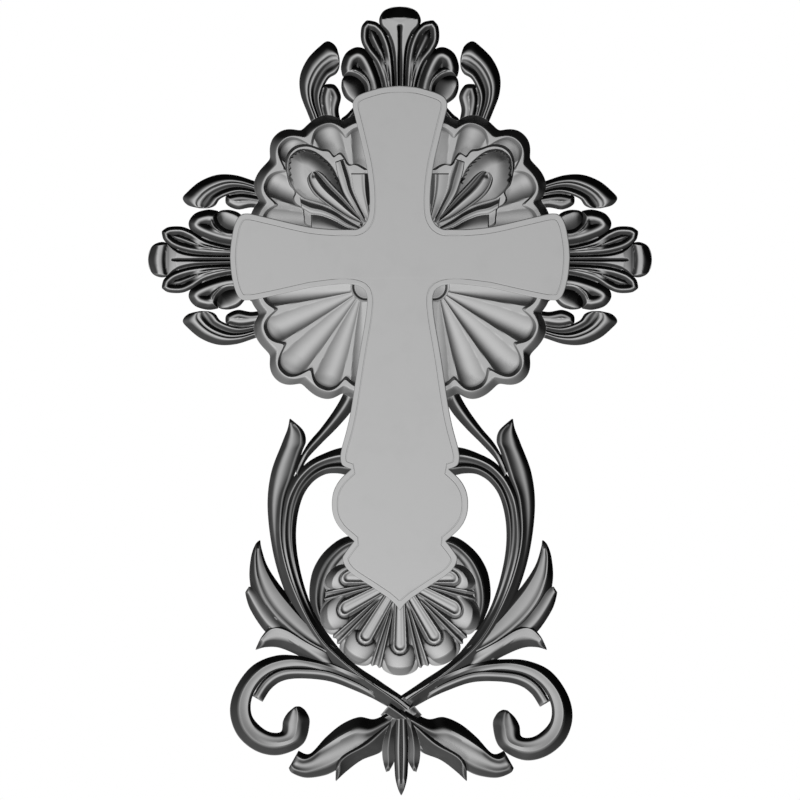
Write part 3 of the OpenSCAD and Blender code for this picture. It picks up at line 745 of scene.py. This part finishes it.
def tongue_shape(side):
    """A slot up the middle of the tongue, and its round head, which a ring parts off on the side crests."""
    out_at = curve(TONGUE, TONGUE_STEPS)[:, 1]
    slot_end, head_section = (SIDE_SLOT_END, SIDE_HEAD) if side else (TOP_SLOT_END, TOP_HEAD)

    def shape(u, t, h, gap):
        out = np.interp(t * TONGUE_STEPS, np.arange(TONGUE_STEPS + 1), out_at)
        aside = (u - 0.5) * mix(11, 41, smooth((t - 0.3) / 0.6))
        slot = bump_at(aside, 0, 2.1) ** 2 * smooth((slot_end - out) / 2)
        head = section_heights(head_section, out + 3 * (2 * u - 1) ** 2)
        return np.minimum(h - SLOT_DEEP * slot, head)

    return shape


def crest_solids(turn):
    """Tongue, fronds and curls on a thin web, with the seat that the flat cross lies on."""
    web = CREST_WEB + mirrored(list(reversed(CREST_WEB)))
    made = [block(turn(CREST_SEAT), SEATED), block(turn(web), WEB_H)]
    for hand in (1, -1):
        first = hand > 0
        band = (0.2 if first else 0.8, 0.14, 8, 0.8)
        lean = (0.8, 1.25) if first else (1.25, 0.8)
        made.append(rimmed_leaf(placed(CURL, turn, hand), CURL_RIM, [band], lean, across=48))
        ball = BALL_SECTION if first else other_hand(BALL_SECTION)
        made.append(leaf(placed(CURL_TIP, turn, hand), ball, cap=12, along=60, across=36))
        frond = placed(FROND_EDGES, turn, hand)
        made.append(rimmed_leaf(frond, FROND_RIM, [(0.5, 0.13, 10, 0.88)], across=44))
    tongue = placed([TONGUE, mirrored(TONGUE)], turn)
    made.append(rimmed_leaf(tongue, TONGUE_RIM, along=TONGUE_STEPS, across=60,
                            shape=tongue_shape(turn is to_side)))
    return made


# ---- curled leaves beside the crests ----

CURLED = [
    [[-86, 128], [-93, 145], [-99.5, 163], [-100, 181], [-92.5, 198], [-80, 211], [-72, 215.8], [-64, 210.5],
     [-60.4, 199]],
    [[-72, 128], [-78.5, 150], [-78.5, 163], [-72, 177.5], [-64, 183], [-60.8, 189], [-60.3, 195]]]
INNER_LEAF = [
    [[-73, 128], [-77.5, 148], [-78.5, 160], [-75.8, 171.5]],
    [[-57, 128], [-61.3, 146], [-59, 161], [-65, 172], [-74, 173]]]
CURLED_WEB = [[-74, 130], [-81, 150], [-81, 163], [-77, 170], [-72, 166], [-70, 130]]
CURLED_SECTION = two_flanks((0.36, 20.5, "round"), (0.44, 17.5, "sharp"), (0.52, 19, "round"),
                            (0.68, 12, "round"), (0.9, 20, "round"))
CURLED_END = two_flanks((0.4, 19, "round"), (0.55, 18, "round"), (0.68, 17, "round"), (0.86, 19, "round"))
INNER_RIM = [(0, EDGE, "sharp"), (5, 16, "round"), (12, 21, "round"), (20, 21, "round")]
SMALL_RIM = [(0, EDGE, "sharp"), (4, 16.5, "round"), (8, 19.5, "round"), (20, 20, "round")]


def curled_solids(turn, hand):
    """A curled leaf with the small leaf inside it and a small curl, on a thin web."""
    section, end, web = CURLED_SECTION, CURLED_END, CURLED_WEB
    if hand < 0:
        section, end, web = other_hand(section), other_hand(end), mirrored(web)
    return [leaf(placed(CURLED, turn, hand), section, end, turn=0.74, along=110, across=44),
            rimmed_leaf(placed(INNER_LEAF, turn, hand), INNER_RIM, along=50),
            rimmed_leaf(placed(SMALL_CURL, turn, hand), SMALL_RIM, along=40),
            block(turn(web), WEB_H)]


# ---- stems ----

LOW_AXIS = 1.25
POINTED_LEAF = [
    [[0, -459], [-11, -450.5], [-30, -438.5], [-55, -426], [-78, -404], [-100, -368], [-117, -330],
     [-127.5, -293], [-132.5, -250], [-129, -216], [-118, -186], [-112.5, -172], [-110.5, -162]],
    [[8, -452], [-6, -441], [-30, -424], [-55, -404], [-78, -382], [-96, -352], [-110, -317], [-117.5, -280],
     [-114.5, -243], [-105.5, -218], [-97.5, -194], [-94, -184], [-97, -173], [-109.5, -161.7]]]
ARCH = [
    [[8, -453], [-6, -442], [-31, -426], [-56, -406], [-79.5, -383], [-97.5, -353], [-111.5, -318],
     [-119.5, -281], [-117, -244], [-107, -221], [-92, -205], [-75, -196], [-58, -190.5], [-40, -190]],
    [[12, -446], [2, -439], [-20, -424], [-52, -401], [-80, -365], [-94, -334], [-102.5, -298],
     [-103.5, -268], [-98, -242], [-88, -226], [-75, -217.5], [-62, -216.5], [-52, -218.5], [-40, -220]]]
TENDRIL = [
    [[-106, -212], [-93, -188], [-79, -171], [-66, -153], [-57, -137], [-52, -122]],
    [[-101, -222], [-94, -204], [-80, -188], [-64, -172], [-50, -156], [-42, -142]]]
LEAF_LONG = [
    [[-70, -400], [-100, -388], [-130, -366], [-145, -345], [-150.5, -322], [-149, -300], [-144.5, -287],
     [-140.5, -283.2]],
    [[-60, -392], [-88, -366], [-106, -345], [-122, -325.5], [-133, -308], [-138.5, -291], [-139.6, -283.5]]]
LEAF_SIDE = [
    [[-80, -408], [-108, -392], [-128, -380], [-138, -371], [-150, -352], [-154.6, -337], [-154, -334]],
    [[-90, -385], [-118, -368], [-134, -350], [-144, -335], [-150.5, -329.5], [-153, -333]]]
LEAF_LOW = [
    [[-58, -424], [-80, -411], [-100, -399.5], [-120, -391], [-134, -390.2], [-144.5, -393]],
    [[-70, -396], [-95, -383], [-115, -371], [-128, -369.3], [-138, -379], [-144, -391]]]
SCROLL = [
    [[-12, -450], [-30, -440], [-48, -431], [-75, -417], [-100, -412], [-122, -413], [-138, -424],
     [-148, -441], [-148.5, -457], [-141, -468], [-130, -475], [-119, -474.5], [-117, -464], [-112.5, -456],
     [-106, -450.3]],
    [[-8, -438], [-22, -429], [-40, -418], [-75, -403.5], [-99, -399], [-124, -398.5], [-148, -409],
     [-165, -432], [-170, -456], [-162, -479], [-143, -494.5], [-120, -498], [-97, -487], [-90.3, -466],
     [-93.5, -455], [-99.5, -449.6], [-105, -449.6]]]
CUT_STRAND = [
    [[-24, -443], [-44, -434], [-70, -424.5], [-98, -421.5], [-117, -423.8], [-129, -432], [-137.5, -445]],
    [[-24, -436], [-44, -424], [-72, -413], [-98, -410.5], [-120, -412], [-136, -422], [-147.5, -439]]]
FOOT_LONG = [
    [[12, -446], [-2, -456], [-16, -468], [-28, -478], [-41, -488], [-58, -498], [-63.5, -507],
     [-64.5, -523]],
    [[22, -458], [4, -470], [-8, -482], [-19, -495], [-38, -503], [-53, -514], [-64, -524.2]]]
FOOT_HOOK = [
    [[6, -444], [-12, -455.5], [-26, -462], [-41, -460], [-58, -467], [-74, -480], [-90, -496.5],
     [-101.5, -493.6]],
    [[-12, -484], [-30, -492], [-48, -502], [-66, -514.5], [-79, -519.3], [-95, -520.7], [-108, -516],
     [-111.3, -511]]]
STEM_WEB = [[-60, -420], [-98, -409], [-122, -410.5], [-138, -420], [-146, -434], [-139, -430], [-128, -418],
            [-117, -415], [-98, -414], [-60, -424]]
STEM_WEB_H = 5
STEM_SEAT = [[-50, -193], [-38, -193], [-38, -214], [-46, -214]]
SCROLL_DROP, SCROLL_FROM = 5, 60
LEAF_ROOT = [(0, EDGE, "sharp"), (0.9, 20, "sharp"), (1, 14, "sharp")]
ARCH_ROOT = [(0, 14, "sharp"), (0.15, 19.5, "sharp"), (1, EDGE, "sharp")]
SCROLL_SECTION = two_flanks((0.34, 17, "round"), (0.7, 20, "sharp"))
SCROLL_END = two_flanks((0.3, 14, "round"), (0.55, 17, "sharp"))
STRAND_SECTION = [(0, EDGE, "sharp"), (0.55, 17, "round"), (0.8, 19, "sharp"), (1, 12, "sharp")]
LONG_SECTION = two_flanks((0.32, 19.5, "sharp"), (0.52, 15.5, "round"), (0.82, 13.5, "sharp"))
SIDE_SECTION = [(0, EDGE, "sharp"), (0.5, 19, "round"), (1, 15, "sharp")]
LOW_SECTION = [(0, EDGE, "sharp"), (0.65, 19, "round"), (0.9, 20.5, "sharp"), (1, 16, "sharp")]
FOOT_SECTION = [(0, 11, "sharp"), (0.22, 24, "sharp"), (1, EDGE, "sharp")]
HOOK_ROOT = [(0, EDGE, "sharp"), (0.34, 22, "sharp"), (0.7, 12, "round"), (1, 9, "sharp")]
HOOK_SECTION = two_flanks((0.26, 22, "sharp"), (0.6, 14.5, "round"), (0.78, 17.5, "sharp"))
TENDRIL_SECTION = two_flanks((0.45, 20, "round"))
LEAF_FACET = [(0, EDGE, "sharp"), (0.36, 12.5, "round"), (0.82, 20, "sharp"), (1, 9, "sharp")]
TWO_STRANDS = [(0, 9, "sharp"), (0.3, 20, "sharp"), (0.52, 12, "round"), (0.72, 19, "sharp"),
               (1, EDGE, "sharp")]


def hung(edges, drop):
    """Edges let down by drop mm at the far side of the scroll, and less near the stem."""
    def lowered(x, z):
        return [x, z - drop * min(max((-x - SCROLL_FROM) / SCROLL_FROM, 0), 1)]

    return [[lowered(x, z) for x, z in edge] for edge in edges]


def scroll_root(u, t, h):
    """The scroll leaves the stem with the stem's own slope."""
    return mix(section_heights(LEAF_ROOT, u), h, smooth((t - 0.08) / 0.3))


def across_low_axis(edges):
    """Edges of a leaf on the other side of the low axis."""
    return [mirrored(edge, LOW_AXIS) for edge in reversed(edges)]


def about_low_axis(solid):
    """The solid mirrored in x about the low axis."""
    points, faces = flipped(solid)
    return points + [2 * LOW_AXIS * WIDE * MM, 0, 0], faces


def stem_solids(drop):
    """Left stem with its leaves and its scroll, which hangs drop mm lower, and the foot leaf on the right."""
    return [
        leaf(POINTED_LEAF, LEAF_ROOT, LEAF_FACET, turn=0.2, cap=0, along=130, across=24),
        leaf(ARCH, ARCH_ROOT, TWO_STRANDS, turn=0.2, cap=0, along=130, across=28),
        leaf(TENDRIL, TENDRIL_SECTION, cap=0, along=50),
        leaf(LEAF_LONG, LONG_SECTION, cap=0, root_cap=25, along=60),
        leaf(LEAF_SIDE, SIDE_SECTION, cap=0, root_cap=25, along=50),
        leaf(LEAF_LOW, LOW_SECTION, cap=0, root_cap=30, along=50),
        leaf(hung(CUT_STRAND, drop), STRAND_SECTION, cap=2.5, root_cap=50, along=60),
        leaf(hung(SCROLL, drop), SCROLL_SECTION, SCROLL_END, turn=0.7, cap=7, root_cap=30, along=160,
             shape=scroll_root),
        block(STEM_SEAT, SEATED),
        block(hung([STEM_WEB], drop)[0], STEM_WEB_H),
        leaf(across_low_axis(FOOT_LONG), other_hand(FOOT_SECTION), cap=0, along=60),
        leaf(across_low_axis(FOOT_HOOK), other_hand(HOOK_ROOT), other_hand(HOOK_SECTION), turn=0, cap=5,
             along=80),
    ]


# ---- small shell, crescents and drop ----

SMALL_ROOT = np.array([0.0, -322.0])
HUB = 14
SMALL_REACH = 94
TONGUE_PITCH = 31
SPREAD = 108.5
SMALL_FLOOR, SMALL_RISE, SMALL_SLOPE = 9.0, 4.0, 8.0
RIB_OFF, RIB_H, RIB_FROM = 12.9, 8.0, 26
CUSHION_AT, CUSHION_LONG, CUSHION_HALF, CUSHION_H = 80, 17, 15.5, 12.5
TONGUE_END, TONGUE_FIELD, TONGUE_EDGE = 66, 15.5, 19.5
MOAT_DEEP = 4.0
FAN_ANGLES = np.linspace(-SPREAD, SPREAD, 561)


def small_reach(angle):
    """Scalloped edge: a wide lobe beyond each tongue and a small one at the ribs between them."""
    off = np.abs((angle + TONGUE_PITCH / 2) % TONGUE_PITCH - TONGUE_PITCH / 2)
    lobes = 7.5 * quarter(1 - off / 11.5) + 2.5 * bump_at(off, 13.2, 1.3)
    return SMALL_REACH - 5 + lobes - 28 * np.maximum(0, (np.abs(angle) - 35) / 65) ** 1.6


def small_shell_solids():
    """Fan of long tongues with round ends, a cushion round each end and two ribs between them."""
    angle = FAN_ANGLES[:, None]
    share = np.linspace(0, 1, 100)[None, :]
    rim = small_reach(angle)
    r = HUB + (rim - HUB) * share
    scale = rim / (SMALL_REACH + 2)
    off = (angle + TONGUE_PITCH / 2) % TONGUE_PITCH - TONGUE_PITCH / 2
    aside = r * np.sin(np.radians(off))
    ahead = r * np.cos(np.radians(off))
    h = SMALL_FLOOR + SMALL_RISE * (1 - r / rim)
    for side in (-1, 1):
        rib = r * np.sin(np.radians(off - side * RIB_OFF))
        h = h + RIB_H * bump_at(rib, 0, 0.6 + 0.014 * r) * smooth((r - RIB_FROM) / 14)
    from_cushion = np.hypot(aside / CUSHION_HALF, (ahead - CUSHION_AT * scale) / (CUSHION_LONG * scale))
    h = np.maximum(h, 8.5 + CUSHION_H * quarter(1 - from_cushion))
    half = 3.4 + 3.0 * np.clip(ahead / (70 * scale), 0, 1)
    past = np.maximum(ahead - TONGUE_END * scale, 0)
    ring = np.hypot(aside, past * 1.1) / half
    h = mix(h, np.maximum(h, TONGUE_EDGE), bump_at(ring, 1.0, 0.2))
    h = np.where(ring < 1, TONGUE_FIELD + 4.0 * bump_at(ring, 1.0, 0.3) + 1.0 * bump_at(ring, 0, 0.4), h)
    moat = bump_at(ring, 1.5, 0.2) * smooth((ahead - 30) / 20)
    h = h - MOAT_DEEP * moat * (h > 8)
    flank = np.clip((rim - r) / SMALL_SLOPE, 0, 1) ** 0.8
    h = EDGE + (h - EDGE) * flank
    a = np.radians(angle)
    fan = grid_solid(SMALL_ROOT[0] + r * np.sin(a), SMALL_ROOT[1] - r * np.cos(a), np.clip(h, 1, SEAT - 0.3))
    return [fan, round_boss(SMALL_ROOT, (HUB + 1.5) * np.linspace(0, 1, 12)[:, None], SEATED, 60)]


def small_shell_room():
    """Room that the small shell takes."""
    a = np.radians(FAN_ANGLES)
    rim = SMALL_ROOT + small_reach(FAN_ANGLES)[:, None] * np.stack([np.sin(a), -np.cos(a)], axis=1)
    return room(np.concatenate([rim, [SMALL_ROOT]]))


CRESCENT = [
    [[-26, -296], [-43, -301], [-55, -313], [-62, -329], [-66, -345], [-66, -362], [-60, -378]],
    [[-38, -279], [-54, -279.6], [-68, -287.5], [-81, -301.5], [-89, -320], [-90, -345], [-80, -372]]]
CRESCENT_SECTION = [(0, 6, "sharp"), (0.36, 9, "sharp"), (0.5, 14, "round"), (0.7, 21, "sharp"),
                    (1, EDGE, "sharp")]

BUD_EDGE = [[-6, -462], [-7.6, -490], [-6.8, -510], [-5.8, -522], [-3.2, -532], [-0.4, -538.2]]
BUD_LEAF = [[-9, -462], [-15, -474], [-18.8, -490], [-18.5, -503], [-15.2, -515]]
BUD_LEAF_IN = [[-5, -462], [-6.5, -476], [-7, -490], [-7, -504], [-12, -514]]
BUD_SECTION = two_flanks((0.14, 18.5, "sharp"), (0.36, 21, "round"), (0.43, 13, "sharp"), (0.5, 19, "round"),
                         (0.57, 13, "sharp"), (0.64, 21, "round"), (0.86, 18.5, "sharp"))
BUD_TIP = two_flanks((0.4, 18.5, "round"), (0.6, 18.5, "round"))
BUD_LEAF_SECTION = [(0, 9, "sharp"), (0.5, 14.5, "sharp"), (1, 9, "sharp")]


def at_low_axis(*edges):
    """Edges drawn about the plate's axis, moved to the low axis."""
    return [[[x + LOW_AXIS, z] for x, z in edge] for edge in edges]


BUD = at_low_axis(mirrored(BUD_EDGE), BUD_EDGE)
BUD_LEAVES = [at_low_axis(BUD_LEAF_IN, BUD_LEAF), at_low_axis(mirrored(BUD_LEAF), mirrored(BUD_LEAF_IN))]


def drop_solids():
    """Fluted bud between two small leaves."""
    bud = leaf(BUD, BUD_SECTION, BUD_TIP, turn=0.78, cap=6, along=70, across=40)
    return [bud] + [leaf(edges, BUD_LEAF_SECTION, cap=5, along=50) for edges in BUD_LEAVES]


# ---- flat cross ----

INSET_SLACK, INSET_STEP = 0.02, 0.3
PLATE_STRETCHES = [
    [[0, 171], [-16, 170], [-33, 165.5], [-43, 161], [-47, 155.5], [-47, 148]],
    [[-47, 148], [-40, 120], [-33, 88], [-30.3, 58], [-32.5, 38], [-42, 28.3], [-60, 27.3]],
    [[-60, 27.3], [-90, 30], [-130, 39], [-151, 43.5], [-160, 41.5], [-165.5, 32], [-169, 14], [-170, 0]],
    [[-170, 0], [-168.7, -16], [-165.5, -31], [-160.5, -41], [-152, -43.3], [-130, -39.5], [-90, -30.5]],
    [[-90, -30.5], [-58, -27], [-40, -29.6], [-33.3, -38], [-34, -58], [-41, -100], [-50, -158],
     [-58.3, -191]],
    [[-58.3, -191], [-59.6, -200], [-57.5, -208], [-49, -212]],
    [[-49, -212], [-61, -224], [-67.3, -238], [-67.3, -256], [-60.5, -270.5], [-46, -284]],
    [[-46, -284], [-55, -296], [-57.3, -303], [-50, -315], [-28, -330], [-13, -340]],
    [[-13, -340], [-5, -347], [0, -354]],
]


def plate_outline():
    """The flat cross's outline, anticlockwise seen from the front."""
    half = []
    for stretch in PLATE_STRETCHES:
        half.extend(curve(stretch, 7 * (len(stretch) - 1))[:-1].tolist())
    return half + PLATE_STRETCHES[-1][-1:] + mirrored(list(reversed(half[1:])))


def inset(points, distance):
    """Points at the distance inside an outline that runs anticlockwise seen from the front."""
    p = np.array(points)
    if distance <= 0:
        return p
    q = np.roll(p, -1, axis=0)
    ahead = (q - p) / np.linalg.norm(q - p, axis=1)[:, None]
    inward = np.stack([-ahead[:, 1], ahead[:, 0]], axis=1)
    moved = np.stack([p + inward * distance, (p + q) / 2 + inward * distance, q + inward * distance], axis=1)
    kept = []
    for place in moved.reshape(-1, 2):
        share = np.clip(((place - p) * (q - p)).sum(axis=1) / ((q - p) ** 2).sum(axis=1), 0, 1)
        gap = np.linalg.norm(p + (q - p) * share[:, None] - place, axis=1).min()
        if gap > distance - INSET_SLACK and (not kept or np.linalg.norm(place - kept[-1]) > INSET_STEP):
            kept.append(place)
    return np.array(kept)


# How far from the plate's edge, and how thick the plate is there: soft edge, margin and border line.
MARGIN_STEPS = [(0, 9.0), (0.35, 9.7), (0.9, 10.0), (5.0, 10.0), (5.5, 9.6), (6.0, 9.6), (6.5, 10.0)]


def cross_plate(material):
    """Flat cross with a softened edge, a margin, a fine border line and two fixing bosses."""
    outline = plate_outline()
    back = FRONT - PLATE_T
    rings = [(inset(outline, 0), back)] + [(inset(outline, d), back + h) for d, h in MARGIN_STEPS]
    points, faces, start = [], [], []
    for ring, height in rings:
        start.append(len(points))
        points.extend(to_frame(ring[:, 0], ring[:, 1], height).tolist())
    n = len(outline)
    faces.extend((k, (k + 1) % n, n + (k + 1) % n, n + k) for k in range(n))
    for i in range(1, len(rings) - 1):
        loops = [[Vector((x, z, 0)) for x, z in rings[i + j][0]] for j in (0, 1)]
        for tri in tessellate_polygon(loops):
            faces.append(tuple(start[i] + k for k in tri))
    for i in (0, len(rings) - 1):
        for tri in tessellate_polygon([[Vector((x, z, 0)) for x, z in rings[i][0]]]):
            faces.append(tuple(start[i] + k for k in tri))
    made = solid_object("cross_plate", (np.array(points), faces))
    for level in (0, -LOWER_BOSS):
        join(made, "UNION", cylinder(BOSS_R, 0, SEAT + 1, level))
        join(made, "DIFFERENCE", cylinder(TAP_R, -1, TAP_DEEP, level))
    dress(made, material, PLATE_CREASE)
    stand_in(made, "cross_plate")


# ---- making ----

cross_plate(cross_iron)

shell = shell_solids()
both_sides("shell_lower_left", shell, ornament_iron)
both_sides("shell_upper_left", [upside_down(s) for s in shell], ornament_iron, cut=[room(COLLAR_LINE)])
both_sides("palmette_left", palmette_solids(), ornament_iron)

piece("crest_top", crest_solids(same), crest_iron)
both_sides("crest_left", crest_solids(to_side), crest_iron)
for name, turn, hand, is_upper in (
        ("curled_leaf_top_left", same, 1, True),
        ("curled_leaf_left_upper", to_side, -1, True),
        ("curled_leaf_left_lower", to_side, 1, False)):
    both_sides(name, curled_solids(turn, hand), crest_iron, cut=[shell_room(is_upper)])

# The stems are halved into each other where they cross: the left one lies in front.
drop_room = [room(leaf_outline(edges)) for edges in [BUD] + BUD_LEAVES]
long_leaves = [POINTED_LEAF, ARCH, across_low_axis(FOOT_LONG), across_low_axis(FOOT_HOOK)]
over = [leaf_outline(edges, 120) for edges in long_leaves]
under = [outline * [-1, 1] + [2 * LOW_AXIS, 0] for outline in over]
piece("stem_left", stem_solids(0), stem_iron,
      cut=[block(outline, HALF_STEM, base=-SPARE) for outline in under] + [shell_room(False)] + drop_room)
piece("stem_right", [about_low_axis(s) for s in stem_solids(SCROLL_DROP)], stem_iron,
      cut=[block(outline, SEAT + SPARE, base=HALF_STEM) for outline in over]
      + [flipped(shell_room(False))] + drop_room)

stem_room = [room(leaf_outline(edges, 120)) for edges in (ARCH, POINTED_LEAF)]
stem_room += [about_low_axis(s) for s in stem_room]
piece("small_shell", small_shell_solids(), ornament_iron, cut=stem_room)
crescent = leaf(CRESCENT, CRESCENT_SECTION, cap=0, along=80)
for name, solid in (("crescent_left", crescent), ("crescent_right", flipped(crescent))):
    piece(name, [solid], stem_iron, cut=[small_shell_room()] + stem_room)
piece("drop", drop_solids(), stem_iron)

# ---- floor, light and camera, in metres ----

FLOOR_GAP = 4.0
FLOOR_HALF = 1.5
DIM_LIGHT = 0.04
LAMP_FAR = 5.0
FROM_LOW_LEFT = (0.32, 0.74, 0.59)
FROM_BEHIND = (0.15, -0.95, 0.15)
MIDDLE = Vector((0, 0, (low_corner.z + high_corner.z) / 2))
VIEW_HEIGHT = 0.8
CAMERA_PLACE = (0, -2.5, -0.143)

floor_finish = bpy.data.materials.new("pale_floor")
floor_tree = Tree(floor_finish)
matte = floor_tree.node("ShaderNodeBsdfDiffuse", inputs={"Color": grey(0.9)})
floor_tree.node("ShaderNodeOutputMaterial", inputs={"Surface": matte})
floor_mesh = bpy.data.meshes.new("floor")
corners = [(-1, -1), (1, -1), (1, 1), (-1, 1)]
floor_mesh.from_pydata([(x * FLOOR_HALF, y * FLOOR_HALF, low_corner.z - FLOOR_GAP) for x, y in corners], [],
                       [(0, 1, 2, 3)])
floor_mesh.materials.append(floor_finish)
floor = bpy.data.objects.new("floor", floor_mesh)
bpy.context.scene.collection.objects.link(floor)

white_room = bpy.data.worlds.new("white_room")
bpy.context.scene.world = white_room
room_tree = Tree(white_room)
camera_ray, clear_ray, glossy_ray = (room_tree.node("ShaderNodeLightPath", output=kind) for kind in (
    "Is Camera Ray", "Is Transmission Ray", "Is Glossy Ray"))
dim, white = (room_tree.node("ShaderNodeBackground", inputs={"Color": grey(1), "Strength": strength})
              for strength in (DIM_LIGHT, 1.0))
seen = camera_ray + clear_ray + glossy_ray
both = room_tree.node("ShaderNodeMixShader", inputs={0: seen, 1: dim, 2: white})
room_tree.node("ShaderNodeOutputWorld", inputs={"Surface": both})


def lamp(name, direction, size, power, shadow=True):
    """Soft square lamp that shines along direction on the middle of the cross."""
    light = bpy.data.lights.new(name, "AREA")
    light.use_shadow = shadow
    light.size = size
    light.energy = power
    made = bpy.data.objects.new(name, light)
    along = Vector(direction).normalized()
    made.location = MIDDLE - along * LAMP_FAR
    made.rotation_euler = along.to_track_quat("-Z", "Y").to_euler()
    bpy.context.scene.collection.objects.link(made)


lamp("key_lamp", FROM_LOW_LEFT, 1.2, 90)
lamp("open_lamp", FROM_LOW_LEFT, 0.6, 250, shadow=False)
lamp("back_lamp", FROM_BEHIND, 1.2, 200)

lens = bpy.data.cameras.new("camera")
lens.type = "ORTHO"
lens.ortho_scale = VIEW_HEIGHT
camera = bpy.data.objects.new("camera", lens)
camera.location = CAMERA_PLACE
camera.rotation_euler = (math.radians(90), 0, 0)
bpy.context.scene.collection.objects.link(camera)
bpy.context.scene.camera = camera
bpy.context.scene.view_settings.view_transform = "Standard"
